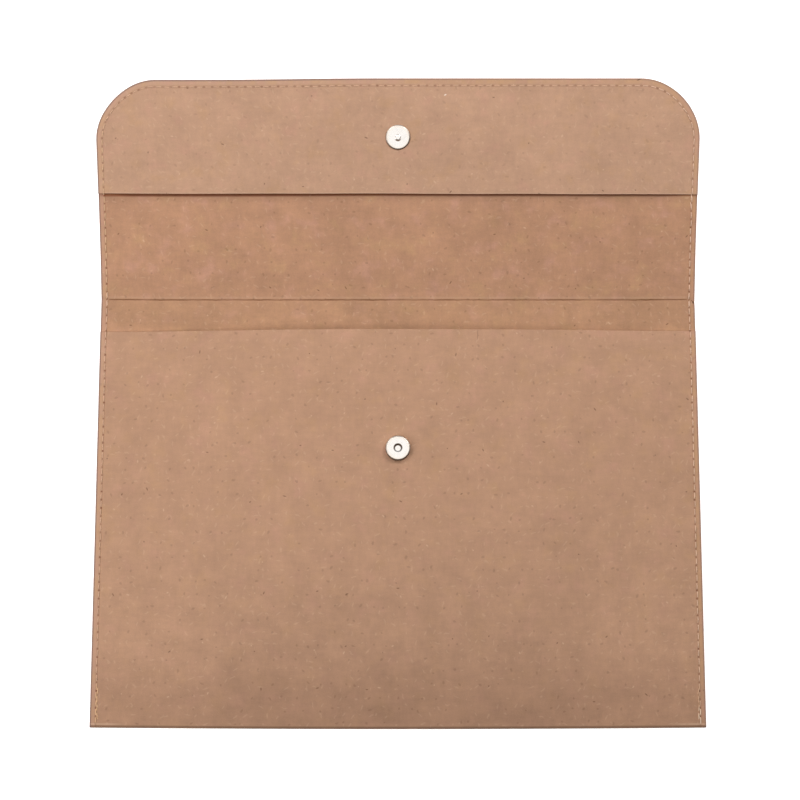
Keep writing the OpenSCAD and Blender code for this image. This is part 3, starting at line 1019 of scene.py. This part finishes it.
class Shader:
    """A node tree, and the few ways in which the finishes and the sky add to it."""

    def __init__(self, owner: Union[Material, bpy.types.World]) -> None:
        """Clears the owner's node tree.

        Args:
            owner: The material, or the world.
        """
        owner.use_nodes = True
        self.owner = owner
        self.tree = owner.node_tree
        self.tree.nodes.clear()

    @classmethod
    def named(cls, name: str) -> Shader:
        """Starts a new material of that name."""
        return cls(bpy.data.materials.new(name))

    def node(self, kind: str, settings: Settings, inputs: Inputs) -> bpy.types.Node:
        """Adds a node.

        Args:
            kind: The node's type.
            settings: The node's own properties, which are set first.
            inputs: Value or link for each socket, by its name or its number.

        Returns:
            The node.
        """
        made = self.tree.nodes.new(kind)
        for key, value in settings.items():
            setattr(made, key, value)
        for key, value in inputs.items():
            if isinstance(value, Term):
                self.tree.links.new(value.socket, made.inputs[key])
            else:
                made.inputs[key].default_value = value
        return made

    def add(self, kind: str, settings: Settings, inputs: Inputs, output: Key = 0) -> Term:
        """Adds a node and returns one of its outputs, by name or number, as a term."""
        return Term(self, self.node(kind, settings, inputs).outputs[output])

    def maths(self, operation: str, *values: Number) -> Term:
        """Adds a Math node on one to three values."""
        return self.add("ShaderNodeMath", {"operation": operation}, dict(enumerate(values)))

    def attribute(self, name: str) -> tuple[Term, Term, Term, Term]:
        """Reads a vector attribute of the piece, whole and as its three numbers."""
        whole = self.add("ShaderNodeAttribute", {"attribute_name": name}, {}, "Vector")
        return (whole, *self.parts(whole))

    def parts(self, vector: Term) -> tuple[Term, ...]:
        """Splits a vector into its three numbers."""
        split = self.node("ShaderNodeSeparateXYZ", {}, {"Vector": vector})
        return tuple(Term(self, split.outputs[k]) for k in range(3))

    def vectors(self, operation: str, first: Term, second: Any, output: Key = 0) -> Term:
        """Adds a Vector Math node on two vectors."""
        return self.add("ShaderNodeVectorMath", {"operation": operation}, {0: first, 1: second}, output)

    def vector(self, x: Number, y: Number, z: Number) -> Term:
        """Joins three numbers into a vector."""
        return self.add("ShaderNodeCombineXYZ", {}, {0: x, 1: y, 2: z})

    def noise(self, place: Term, size: float, detail: float, rough: float = 0.5) -> Term:
        """Adds noise, mostly between -0.25 and 0.25, with features of that size in the units of place."""
        inputs = {"Vector": place, "Scale": 1 / size, "Detail": detail, "Roughness": rough}
        return self.add("ShaderNodeTexNoise", {"noise_dimensions": "3D"}, inputs) - 0.5

    def blend(self, factor: Number, first: Union[Term, Rgb], second: Union[Term, Rgb]) -> Term:
        """Mixes two colours by a factor."""
        pair = [c if isinstance(c, Term) else (*c, 1.0) for c in (first, second)]
        settings = {"data_type": "RGBA", "clamp_factor": True}
        return self.add("ShaderNodeMix", settings, {0: factor, 6: pair[0], 7: pair[1]}, 2)

    def layered(self, colour: Union[Term, Rgb], *layers: tuple[Number, Rgb]) -> Term:
        """Lays tones over a colour one after another, each by its own mask."""
        for mask, tone in layers:
            colour = self.blend(mask, colour, tone)
        return colour

    def shade(self, colour: Term, factor: Number) -> Term:
        """Scales a colour or another vector by a factor."""
        return self.add("ShaderNodeVectorMath", {"operation": "SCALE"}, {0: colour, "Scale": factor})

    def bump(self, height: Term, depth: float, strength: float) -> Term:
        """Turns a height from 0 to 1 into a normal, with the given depth in metres."""
        inputs = {"Height": height, "Distance": depth, "Strength": strength}
        return self.add("ShaderNodeBump", {}, inputs, "Normal")

    def flecks(self, place: tuple[Term, Term], scatter: Scatter) -> Term:
        """Scatters short strands, at most one in each cell, each turned its own way.

        The distance to the cell's point is taken along and across the strand's own heading and
        divided by half its length and half its width.

        Args:
            place: Millimetres across and along.
            scatter: How the strands are scattered.

        Returns:
            A mask that is 1 on a strand.
        """
        x, y = (part + scatter.seed * apart for part, apart in zip(place, (37.0, 53.0)))
        bow = self.noise(self.vector(x, y, 0.0), scatter.cell * 0.4, 1.0) * scatter.length
        bent = self.vector(x + bow * 0.5, y - bow * 0.4, 0.0)
        cells = self.node(
            "ShaderNodeTexVoronoi",
            {"voronoi_dimensions": "2D", "feature": "F1"},
            {"Vector": bent, "Scale": 1 / scatter.cell, "Randomness": 0.75},
        )
        dx, dy, _ = self.parts(self.vectors("SUBTRACT", bent, Term(self, cells.outputs["Position"])))
        chance = self.node("ShaderNodeSeparateColor", {}, {0: Term(self, cells.outputs["Color"])})
        heading, luck, reach = (Term(self, chance.outputs[k]) for k in range(3))
        angle = heading * (2 * math.pi)
        turned = (angle.math("COSINE"), angle.math("SINE"))
        half_length = reach * (0.35 * scatter.length) + 0.15 * scatter.length
        strand = self.strand((dx, dy), turned, half_length, scatter.width / 2)
        return strand * luck.math("LESS_THAN", scatter.share)

    def strand(
        self, away: tuple[Term, Term], heading: tuple[Number, Number], reach: Number, half_width: float
    ) -> Term:
        """Draws one short strand as a thin ellipse.

        Args:
            away: Millimetres from its middle, across and along.
            heading: Cosine and sine of its heading.
            reach: Half its length.
            half_width: Half its width.

        Returns:
            A mask that is 1 on the strand.
        """
        dx, dy = away
        cosine, sine = heading
        lengthwise = (dx * cosine + dy * sine) / reach
        crosswise = (dy * cosine - dx * sine) / half_width
        far = (lengthwise * lengthwise + crosswise * crosswise).math("SQRT")
        return far.fade(1.15, 0.55)

    def surface(self, inputs: Inputs) -> Material:
        """Closes the tree with a Principled shader on those inputs, and returns the material."""
        body = self.add("ShaderNodeBsdfPrincipled", {}, inputs)
        self.node("ShaderNodeOutputMaterial", {}, {"Surface": body})
        return self.owner


def linear(red: float, green: float, blue: float) -> Rgb:
    """Turns a screen colour of 0 to 255 into the linear colour that a shader takes."""
    parts = (c / 255 for c in (red, green, blue))
    return tuple(c / 12.92 if c <= 0.04045 else ((c + 0.055) / 1.055) ** 2.4 for c in parts)


@dataclass(frozen=True)
class Mark:
    """One fleck or scratch of its own place: sizes in millimetres of the flat sheet, heading in degrees."""

    across: float
    along: float
    heading: float
    length: float
    width: float
    strength: float
    colour: Rgb

    def mask(self, sh: Shader, x: Term, along: Term) -> Term:
        """Returns how much of the mark's colour lies at each place."""
        turn = math.radians(self.heading)
        away = (x - self.across, along - self.along)
        heading = (math.cos(turn), math.sin(turn))
        return sh.strand(away, heading, self.length / 2, self.width / 2) * self.strength


class PaperShader(Shader):
    """The paper's node tree, which reads the place on the paper, in millimetres, from its shape."""

    def __init__(self, name: str) -> None:
        """Starts a new material of that name, and reads the three attributes of the paper's shapes."""
        super().__init__(bpy.data.materials.new(name))
        _, self.x, self.along, self.inside = self.attribute("flat")
        _, self.across, self.phase, self.rim = self.attribute("seam")
        _, _, self.beyond, self.inset = self.attribute("crease")


@dataclass(frozen=True)
class KraftPaper:
    """Washed kraft paper: clouded brown, short pressed strands, scattered flecks, painted shade and
    highlights.
    """

    name: str
    outside: Rgb
    inside: Rgb
    marks: tuple[Mark, ...]
    shaded: float = 1.0
    stitch_pitch: float = 4.6
    facing_edge: float = 60.4
    # Span, in mm beyond the crease, over which shade is painted towards the bottom fold.
    fold_end: Pair = (-190.0, -236.0)
    dark_flecks: Scatter = Scatter(1.0, 27.0, 2.4, 0.8, 0.5)
    specks: Scatter = Scatter(2.0, 7.0, 2.6, 1.3, 0.4)
    light_flecks: Scatter = Scatter(3.0, 25.0, 2.4, 0.9, 0.5)
    hairs: Scatter = Scatter(4.0, 5.0, 4.0, 0.9, 0.6)
    rosy: Rgb = linear(203, 152, 130)
    straw: Rgb = linear(194, 151, 111)
    fleck: Rgb = linear(104, 70, 46)
    # Colour of the pale flecks and hairs, and of the painted highlights by the crease, on the facing's lip
    # and above the bottom fold.
    pale_fleck_and_highlight: Rgb = linear(226, 190, 160)
    # Colour of the painted shade in the crease and along the seam's furrow.
    groove_shade: Rgb = linear(114, 72, 38)
    # Colour of the painted shade in the needle holes.
    hole_shade: Rgb = linear(124, 72, 46)
    # Colour of the painted shadow under the facing's free edge and of the painted shade towards the bottom
    # fold.
    shadow_brown: Rgb = linear(120, 58, 24)
    # Colour of the cut edge, which is partly its own darker colour and partly painted shade along the
    # outline.
    cut: Rgb = linear(116, 94, 94)
    golden: Rgb = linear(206, 160, 116)
    # Colour of the painted shade where the bottom fold turns under.
    fold_shade: Rgb = linear(96, 70, 48)
    pinkish: Rgb = linear(214, 176, 158)

    def build(self) -> Material:
        """Builds the material from the sheet's flat coordinates and its place relative to the seam."""
        sh = PaperShader(self.name)
        place = sh.vector(sh.x, sh.along, sh.inside * 90.0)
        upright = sh.vector(sh.x, sh.along * 0.3, sh.inside * 90.0)
        level = sh.vector(sh.x * 0.3, sh.along, sh.inside * 90.0 + 40.0)
        clouds = sh.noise(place, 40.0, 3.0, 0.5)
        patches = sh.noise(place, 12.0, 4.0, 0.6)
        strands = (sh.noise(upright, 2.2, 2.0, 0.55) + sh.noise(level, 2.2, 2.0, 0.55)) * 0.75
        grain = sh.noise(place, 0.7, 2.0, 0.6)
        mottle = clouds * 0.16 + patches * 0.36 + strands * 0.16 + grain * 0.19
        colour = self.ground(sh, sh.noise(place, 13.0, 3.0, 0.6), mottle)
        spot = (sh.x, sh.along)
        light = sh.flecks(spot, self.light_flecks)
        colour = sh.layered(
            colour,
            (sh.flecks(spot, self.dark_flecks) * 0.6, self.fleck),
            (sh.flecks(spot, self.specks) * (0.09 * self.shaded + 0.15), self.fleck),
            (light * 0.42, self.pale_fleck_and_highlight),
            (sh.flecks(spot, self.hairs) * 0.18, self.pale_fleck_and_highlight),
        )
        hole = self.holes(sh)
        luck = self.luck(sh)
        # Painted shade in the needle holes: its depth differs from hole to hole, and is less from the
        # facing's edge to the tip.
        hole_shade_strength = (luck * luck * 0.5 + 0.26) * (1.0 - sh.beyond.fade(60.0, 72.0) * 0.4)
        colour = sh.layered(
            colour,
            (hole * hole_shade_strength, self.hole_shade),
            # Painted shade along the furrow that the thread presses into the paper.
            (sh.across.size().fade(0.75, 0.3) * 0.14, self.groove_shade),
            *self.creases(sh),
            *self.edges(sh),
            *((mark.mask(sh, *spot), mark.colour) for mark in self.marks),
        )
        relief = strands * 0.8 + grain * 0.9 + light * 0.5 - hole * 0.8
        return sh.surface({
            "Base Color": colour,
            "Roughness": grain * 0.3 + patches * 0.12 + 0.84,
            "Normal": sh.bump(relief, 0.09 * MM, 0.7),
            "Specular IOR Level": 0.28,
            "Sheen Weight": 0.08,
            "Sheen Roughness": 0.6,
        })

    def ground(self, sh: PaperShader, tint: Term, mottle: Term) -> Term:
        """Colours the bare paper.

        Args:
            sh: The shader.
            tint: Noise that turns the colour rosy or straw.
            mottle: Noise that makes it lighter or darker.

        Returns:
            The colour, with painted shade towards the bottom fold, beside the mouth and under the facing.
        """
        low = sh.beyond.fade(-115.0, -215.0)
        hue = sh.inside * (0.16 * self.shaded) + 0.34 - low * 0.14
        strip = sh.beyond.fade(2.0, -2.0) * sh.inside
        colour = sh.layered(
            sh.blend(sh.inside, self.outside, self.inside),
            (tint.fade(0.02, 0.22) * hue, self.rosy),
            (tint.fade(-0.02, -0.22) * hue, self.straw),
            (strip * (0.25 * self.shaded), self.straw),
        )
        tone = mottle * (sh.inside * (0.3 * self.shaded) + low * 0.22 + 0.95) + 1.0
        # Painted shade: darker towards the bottom fold, and darker on the inside below the crease, on the
        # strip recessed beside the mouth.
        tone = tone * (1.0 - sh.beyond.fade(*self.fold_end) * 0.1) * (1.0 - strip * 0.07)
        # Painted light on the inside from just above the mouth edge downwards, against the shade there.
        tone = tone * (1.0 + sh.beyond.fade(-15.0, -18.0) * sh.inside * 0.08)
        # Painted shade towards the bottom: darker in the middle, a little lighter by the sides.
        tone = tone * (1.0 - low * (sh.x.size().fade(118.0, 92.0) * 0.09 - 0.02))
        # Painted shadow on the flap below the facing's free edge.
        from_facing = self.facing_edge - sh.beyond
        under = from_facing.fade(-0.5, 1.0) * from_facing.fade(6.0, 1.5) * sh.inside
        return sh.shade(colour, tone * (1.0 - under * (0.12 * self.shaded)))

    def holes(self, sh: PaperShader) -> Term:
        """Returns a mask that is 1 in a needle hole."""
        near = (sh.phase - sh.phase.math("ROUND")).size() * self.stitch_pitch
        return (near * near + sh.across * sh.across).math("SQRT").fade(0.95, 0.35)

    def luck(self, sh: PaperShader) -> Term:
        """Returns a chance number from 0 to 1 for each needle hole."""
        which = sh.vector(sh.phase.math("ROUND"), sh.x.math("SIGN"), 0.0)
        return sh.add("ShaderNodeTexWhiteNoise", {"noise_dimensions": "2D"}, {"Vector": which})

    def creases(self, sh: PaperShader) -> tuple[tuple[Term, Rgb], ...]:
        """Paints the crease's shade, which wavers, a highlight on its ridge and the shadow by the facing.

        Args:
            sh: The shader.

        Returns:
            Masks with their tones.
        """
        crease = sh.beyond + sh.noise(sh.vector(sh.x, 0.0, 0.0), 6.0, 3.0) * 0.7
        ends = sh.across.fade(0.6, 1.8)
        wavering = sh.noise(sh.vector(sh.x, 4.0, 0.0), 17.0, 2.0) * 1.6 + 0.72
        by_facing = (self.facing_edge - sh.beyond).size().fade(1.6, 0.2) * sh.inside
        return (
            # Painted highlight on the ridge beside the crease.
            ((crease - 1.4).size().fade(0.8, 0.2) * ends * 0.14, self.pale_fleck_and_highlight),
            # Painted shade along the crease line.
            (crease.size().fade(0.55, 0.15) * ends * wavering * 0.95, self.groove_shade),
            # Painted shadow right under the facing's free edge.
            (by_facing * (0.8 * self.shaded), self.shadow_brown),
        )

    def edges(self, sh: PaperShader) -> tuple[tuple[Term, Rgb], ...]:
        """Works out the sewn margin, the cut edge, and painted light and shade at the facing's lip, the
        fold and the outline.

        Args:
            sh: The shader.

        Returns:
            Masks with their tones.
        """
        lip = sh.rim.fade(1.0, 0.45) * sh.inset.fade(1.5, 2.5)
        margin = sh.inset.fade(3.4, 2.2)
        streaks = sh.noise(sh.vector(sh.x * 2.0, sh.along, 5.0), 14.0, 2.0, 0.6)
        fold_highlight = (sh.beyond + 239.2).size().fade(0.9, 0.3) * sh.x.size().fade(148.0, 160.0)
        # Strength of the painted shade along the outline, greater on the left than on the right.
        edge = sh.x.fade(60.0, -60.0) * 0.2 + 0.42
        return (
            # Painted highlight along the facing's free edge.
            (lip * (0.24 * (1.0 - self.shaded)), self.pale_fleck_and_highlight),
            (margin * sh.x.fade(10.0, -10.0) * 0.22, self.pinkish),
            (margin * (streaks.fade(-0.05, 0.15) * 0.3 + 0.1), self.golden),
            (margin * streaks.fade(0.05, -0.15) * 0.35, self.rosy),
            # Painted shade towards the bottom fold.
            (sh.beyond.fade(*self.fold_end) * 0.06, self.shadow_brown),
            # Painted highlight above the bottom fold, near the corners.
            (fold_highlight * 0.35, self.pale_fleck_and_highlight),
            # Painted shade along the bottom fold, where it turns away.
            (sh.beyond.fade(-239.6, -240.3) * 0.55, self.fold_shade),
            # The cut edge: partly its own darker colour, partly painted shade along the outline.
            (sh.inset.fade(1.1, 0.55) * edge, self.cut),
        )


@dataclass(frozen=True)
class SpunThread:
    """Three-ply spun sewing thread with a soft lustre."""

    name: str
    colour: Rgb = linear(236, 196, 162)
    # Colour of the painted shade in the hollows between the plies.
    hollow: Rgb = linear(202, 156, 124)
    golden: Rgb = linear(244, 198, 146)
    mellow: Rgb = linear(226, 188, 128)
    # A dimmer tone: painted shade on the sunken stitches round the flap's tip, and darker stitches low on
    # the right.
    dimmer: Rgb = linear(204, 160, 122)
    bleached: Rgb = linear(238, 202, 172)
    bright: Rgb = linear(250, 222, 192)
    pinkish: Rgb = linear(224, 184, 158)
    tip_start: Pair = (118.0, 140.0)
    tip_end: Pair = (460.0, 430.0)
    plies: int = 3
    lay: float = 1.3

    def build(self) -> Material:
        """Builds the material: slanted stripes from the turn round the thread and the way along it."""
        sh = Shader.named(self.name)
        whole, cosine, sine, along = sh.attribute("turn")
        x, _, _ = sh.parts(sh.add("ShaderNodeTexCoord", {}, {}, "Object"))
        angle = sine.math("ARCTAN2", cosine)
        wave = (angle * float(self.plies) + along * (2 * math.pi / self.lay)).math("SINE") * 0.5 + 0.5
        fuzz = sh.noise(whole, 0.35, 3.0, 0.6)
        faded = sh.noise(sh.vector(along, 0.0, 0.0), 5.0, 2.0)
        tip = along.fade(*self.tip_start) * along.fade(*self.tip_end)
        right = x.fade(0.1, 0.16)
        colour = sh.layered(
            # Painted shade in the hollows between the plies, by the slanted stripes.
            sh.blend(wave.fade(0.05, 0.7), self.hollow, self.colour),
            # Painted shade on the sunken stitches round the flap's tip.
            (tip * 0.7, self.dimmer),
            (along.fade(430.0, 465.0) * 0.6, self.mellow),
            (right * 0.6, self.bleached),
            (right * along.fade(-215.0, -220.0) * 0.6, self.dimmer),
            (right * along.fade(-229.0, -232.0) * 0.9, self.bright),
            (along.fade(-70.0, 0.0) * 0.4, self.pinkish),
            (along.fade(-214.0, -220.0) * x.fade(0.0, -0.1) * 0.6, self.golden),
        )
        colour = sh.shade(colour, fuzz * 0.3 + faded * 0.5 + 1.0)
        return sh.surface({
            "Base Color": colour,
            "Roughness": fuzz * 0.3 + 0.58,
            "Normal": sh.bump(wave + fuzz * 0.5, 0.07 * MM, 0.8),
            "Specular IOR Level": 0.4,
            "Sheen Weight": 0.25,
        })


@dataclass(frozen=True)
class SnapMetal:
    """A metal part of the snap, pressed, turned or sintered."""

    colour: Rgb
    worn: Rgb
    metallic: float
    smooth: float
    rough: float
    scratch: float


class Metal(Enum):
    """The metals of the snap."""

    NICKEL = SnapMetal((0.97, 0.92, 0.87), (0.9, 0.84, 0.79), 1.0, 0.1, 0.22, 0.2)
    STEEL = SnapMetal((0.62, 0.62, 0.63), (0.44, 0.43, 0.42), 1.0, 0.3, 0.5, 0.4)
    FERRITE = SnapMetal((0.05, 0.05, 0.055), (0.08, 0.08, 0.08), 0.0, 0.5, 0.75, 0.2)


@dataclass(frozen=True)
class SnapHalf:
    """One half of the snap: where it sits, and where shade is painted on its metal."""

    name: str
    metals: Mapping[str, Metal]
    middle: Triple
    tilt: float
    # Painted shade: radii in mm of the ring round the middle, the way up over which it grows, and its
    # strength.
    shade_ring: Pair
    shade_side: Pair
    shade_strength: float = 0.92
    scratches: Scatter = Scatter(1.0, 1.6, 2.2, 0.08, 0.5)
    rim: Pair = (6.05, 6.6)
    # Colour of the painted shade in the ring and at the rim.
    metal_shade: Rgb = (0.15, 0.085, 0.05)
    warm: Rgb = (0.99, 0.86, 0.72)

    def finish(self, metal: Metal) -> Material:
        """Builds the finish of the half's parts of one metal.

        The distance from the half's axis is the length of the place from its middle, less the
        part of it that lies along the axis. Fine scratches are scattered on the part's own place;
        shade is painted in the ring round the middle, most on one side of it, and at the rim, most
        on its lower side.

        Args:
            metal: The metal.

        Returns:
            The material.
        """
        look = metal.value
        sh = Shader.named(f"{self.name}_{metal.name.lower()}")
        spot = sh.add("ShaderNodeTexCoord", {}, {}, "Object")
        scaled = sh.shade(sh.vectors("SUBTRACT", spot, self.middle), 1 / MM)
        x, y, z = sh.parts(scaled)
        up = y * math.cos(self.tilt) + z * math.sin(self.tilt)
        away = (x * x + up * up).math("SQRT")
        haze = sh.noise(scaled, 2.4, 3.0, 0.6)
        fine = sh.noise(scaled, 0.25, 2.0, 0.6)
        scratches = sh.flecks((x, up), self.scratches)
        inner, outer = self.shade_ring
        ring = away.fade(inner - 0.15, inner + 0.1) * away.fade(outer + 0.15, outer - 0.1)
        way_up = up / (away + 0.01)
        lower = way_up.fade(0.6, -0.7) * 0.6 + 0.28
        at_rim = away.fade(*self.rim)
        colour = sh.layered(
            look.colour,
            (haze.fade(-0.1, 0.25) * 0.5, look.worn),
            (scratches * look.scratch, look.worn),
            (away.fade(4.9, 5.9) * 0.5, self.warm),
            # Painted shade in the ring round the post or in the socket's hole, most on one side.
            (ring * way_up.fade(*self.shade_side) * self.shade_strength, self.metal_shade),
            # Painted shade at the rim, most on its lower side.
            (at_rim * lower, self.metal_shade),
        )
        between = (look.smooth + look.rough) / 2
        return sh.surface({
            "Base Color": colour,
            "Metallic": look.metallic,
            "Roughness": haze * (look.rough - look.smooth) + at_rim * 0.28 + between,
            "Normal": sh.bump(fine + scratches * 0.6, 0.01 * MM, 0.06),
        })


@dataclass(frozen=True)
class Snap:
    """The magnetic snap, whose nodes stay and get their finishes."""

    pattern: Pattern

    def halves(self) -> tuple[SnapHalf, SnapHalf]:
        """Returns the socket half on the front panel and the stud half on the facing."""
        pat = self.pattern
        y, z, slope = (float(value[0]) for value in pat.flap_at(np.array([pat.stud_reach])))
        height = pat.paper_t / 2 + pat.layer_gap + pat.facing_rise + pat.facing_t
        stud = (
            0.0,
            pat.crease_y + y - height * math.sin(slope),
            pat.back_z + z + height * math.cos(slope),
        )
        socket = (0.0, pat.socket_y, pat.front_z + pat.paper_t / 2 + pat.pillow_h)
        hidden = {"prongs": Metal.STEEL, "washer": Metal.STEEL}
        cap = {"cap": Metal.NICKEL, "rivet": Metal.NICKEL, "magnet": Metal.FERRITE, "plate": Metal.STEEL}
        disc = {"disc": Metal.NICKEL, "post": Metal.NICKEL}
        return (
            SnapHalf("socket", cap | hidden, socket, 0.0, (1.75, 2.5), (-1.8, 0.7)),
            SnapHalf("stud", disc | hidden, stud, slope, (1.65, 2.2), (-0.4, -0.95)),
        )

    def dress(self, nodes: Mapping[str, Thing]) -> None:
        """Puts the finishes on the snap's nodes.

        Args:
            nodes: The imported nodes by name.
        """
        for half in self.halves():
            finishes = {metal: half.finish(metal) for metal in dict.fromkeys(half.metals.values())}
            for part, metal in half.metals.items():
                name = f"{half.name}_{part}"
                dress(nodes[name], finishes[metal])
                LOG.info("%s: %s", name, metal.name.lower())


def dress(thing: Thing, material: Material) -> None:
    """Leaves an object with one material in its only slot."""
    thing.data.materials.clear()
    thing.data.materials.append(material)


@dataclass(frozen=True)
class Lamp:
    """A square soft light that points at the middle of the envelope."""

    name: str
    place: Triple
    energy: float
    size: float

    def build(self) -> None:
        """Adds the lamp to the scene."""
        light = bpy.data.lights.new(self.name, "AREA")
        light.shape = "SQUARE"
        light.size = self.size
        light.energy = self.energy
        aim(linked(self.name, light), self.place)


@dataclass(frozen=True)
class Studio:
    """A white table under a broad soft light, and the camera."""

    floor_size: float = 8.0
    floor_z: float = -0.02 * MM
    floor_glow: float = 0.75
    lamps: tuple[Lamp, ...] = (
        Lamp("upper_left", (-0.4, 0.38, 0.7), 2.2, 0.35),
        Lamp("upper_right", (0.4, 0.38, 0.7), 3.1, 0.35),
        Lamp("lower_left", (-0.6, -0.3, 0.6), 2.32, 0.4),
    )
    sky: float = 0.06
    panel: float = 1.05
    panel_heading: Triple = (0.0, -0.16, 0.987)
    panel_edge: Pair = (0.87, 0.93)
    backdrop: float = 0.95
    backdrop_edge: Pair = (0.06, 0.02)
    lens: float = 75.0
    target: Triple = (1.15 * MM, 3.92 * MM, 1.5 * MM)
    camera_away: Triple = (0.0, -141.6 * MM, 936.1 * MM)

    def floor(self) -> Thing:
        """Builds the table top, which glows a little so that it stays white under the paper."""
        half = self.floor_size / 2
        steps = np.linspace(-half, half, 3)
        x, y = np.meshgrid(steps, steps)
        points = np.stack([x.ravel(), y.ravel(), np.full(x.size, self.floor_z)], axis=1)
        a = np.arange(9).reshape(3, 3)
        corners = (a[:-1, :-1], a[:-1, 1:], a[1:, 1:], a[1:, :-1])
        faces = np.stack([c.ravel() for c in corners], axis=1)
        thing = Surface(points, faces, {}).to_object("table_top", math.pi)
        sh = Shader.named("table_white")
        spot = sh.add("ShaderNodeTexCoord", {}, {}, "Object")
        soft = sh.noise(spot, 0.4, 2.0).fade(-0.25, 0.25)
        white = sh.blend(soft, (0.88, 0.88, 0.88), (0.92, 0.92, 0.92))
        dress(thing, sh.surface({
            "Base Color": white,
            "Roughness": 0.9,
            "Emission Color": (1.0, 1.0, 1.0, 1.0),
            "Emission Strength": self.floor_glow,
            "Specular IOR Level": 0.0,
        }))
        return thing

    def light(self) -> None:
        """Sets up the lamps, the even light from all round, the panel above and the backdrop."""
        for lamp in self.lamps:
            lamp.build()
        world = bpy.data.worlds.new("ceiling")
        sky = Shader(world)
        heading = sky.add("ShaderNodeTexCoord", {}, {}, "Generated")
        towards = sky.vectors("DOT_PRODUCT", heading, self.panel_heading, "Value")
        _, _, height = sky.parts(heading)
        above = towards.fade(*self.panel_edge) * (self.panel - self.sky)
        strength = above + height.fade(*self.backdrop_edge) * self.backdrop + self.sky
        even = {"Color": (1.0, 1.0, 1.0, 1.0), "Strength": strength}
        sky.node("ShaderNodeOutputWorld", {}, {"Surface": sky.add("ShaderNodeBackground", {}, even)})
        bpy.context.scene.world = world

    def camera(self) -> None:
        """Sets up the camera above the body, a little towards the bottom fold."""
        optics = bpy.data.cameras.new("camera")
        optics.lens = self.lens
        optics.sensor_width = 36.0
        optics.clip_end = 20.0
        thing = linked("camera", optics)
        aim(thing, self.camera_away, self.target)
        bpy.context.scene.camera = thing

    def build(self) -> None:
        """Sets up the table, the light, the camera and plain picture tones."""
        self.floor()
        self.light()
        self.camera()
        view = bpy.context.scene.view_settings
        view.view_transform = "Standard"
        view.look = "None"


def place_piece(surface: Surface, name: str, node: str, slot: str, material: Material) -> None:
    """Makes a piece that stands for a node of the frame, and reports it.

    Args:
        surface: The piece's shape.
        name: The piece's name.
        node: The node that it replaces.
        slot: The record's material slot, which is not used.
        material: The piece's finish.
    """
    thing = surface.to_object(name, math.radians(50))
    dress(thing, material)
    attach(thing, "root")
    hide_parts(node)
    corners = np.stack([surface.points.min(0), surface.points.max(0)])
    slack = float(np.abs(corners - np.array(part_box(node))).max())
    LOG.info("%s: %d faces, corners within %.2f mm of %s", name, len(surface.faces), slack / MM, node)


def main() -> None:
    """Builds and dresses the envelope piece by piece, and sets up the picture."""
    logging.basicConfig(level=logging.INFO, format="%(message)s")
    pattern = Pattern()
    seam = Seam(pattern)
    relief = Relief(pattern, seam)
    trim = Trim(pattern)
    dark = linear(84, 50, 30)
    # Painted shade: two dark marks where the crease meets the right edge at its nick, and a hairline crease
    # below the mouth.
    sheet_marks = (
        Mark(168.7, 480.9, 135.0, 2.8, 0.6, 0.75, dark),
        Mark(169.2, 480.2, 90.0, 1.5, 1.2, 0.75, dark),
        Mark(45.2, 21.6, 92.0, 6.5, 0.5, 0.35, dark),
    )
    facing_marks = (
        Mark(26.5, 816.0, 30.0, 1.6, 0.8, 0.8, linear(250, 236, 222)),
        Mark(134.6, 824.3, 20.0, 2.6, 0.7, 0.8, dark),
    )
    outside = linear(191, 148, 119)
    inside = linear(188.6, 141.6, 110.7)
    sheet_paper = KraftPaper("kraft_sheet", outside, inside, sheet_marks).build()
    facing_colour = linear(194, 152.7, 125)
    facing_paper = KraftPaper("kraft_facing", facing_colour, facing_colour, facing_marks, 0.0).build()
    thread = SpunThread("spun_thread").build()
    parts = (pattern, seam, relief, trim)
    pieces = (
        (FoldedSheet(*parts), "folded_sheet", "envelope_sheet", "kraft_paper", sheet_paper),
        (Facing(*parts), "facing_strip", "flap_facing", "kraft_paper", facing_paper),
        (Thread(*parts, Side.NEEDLE), "needle_stitches", "needle_thread", "thread", thread),
        (Thread(*parts, Side.BOBBIN), "bobbin_stitches", "bobbin_thread", "thread", thread),
    )
    for shape, *place in pieces:
        place_piece(shape.build(), *place)
    Snap(pattern).dress(frame["nodes"])
    Studio().build()


if __name__ == "__main__":
    main()
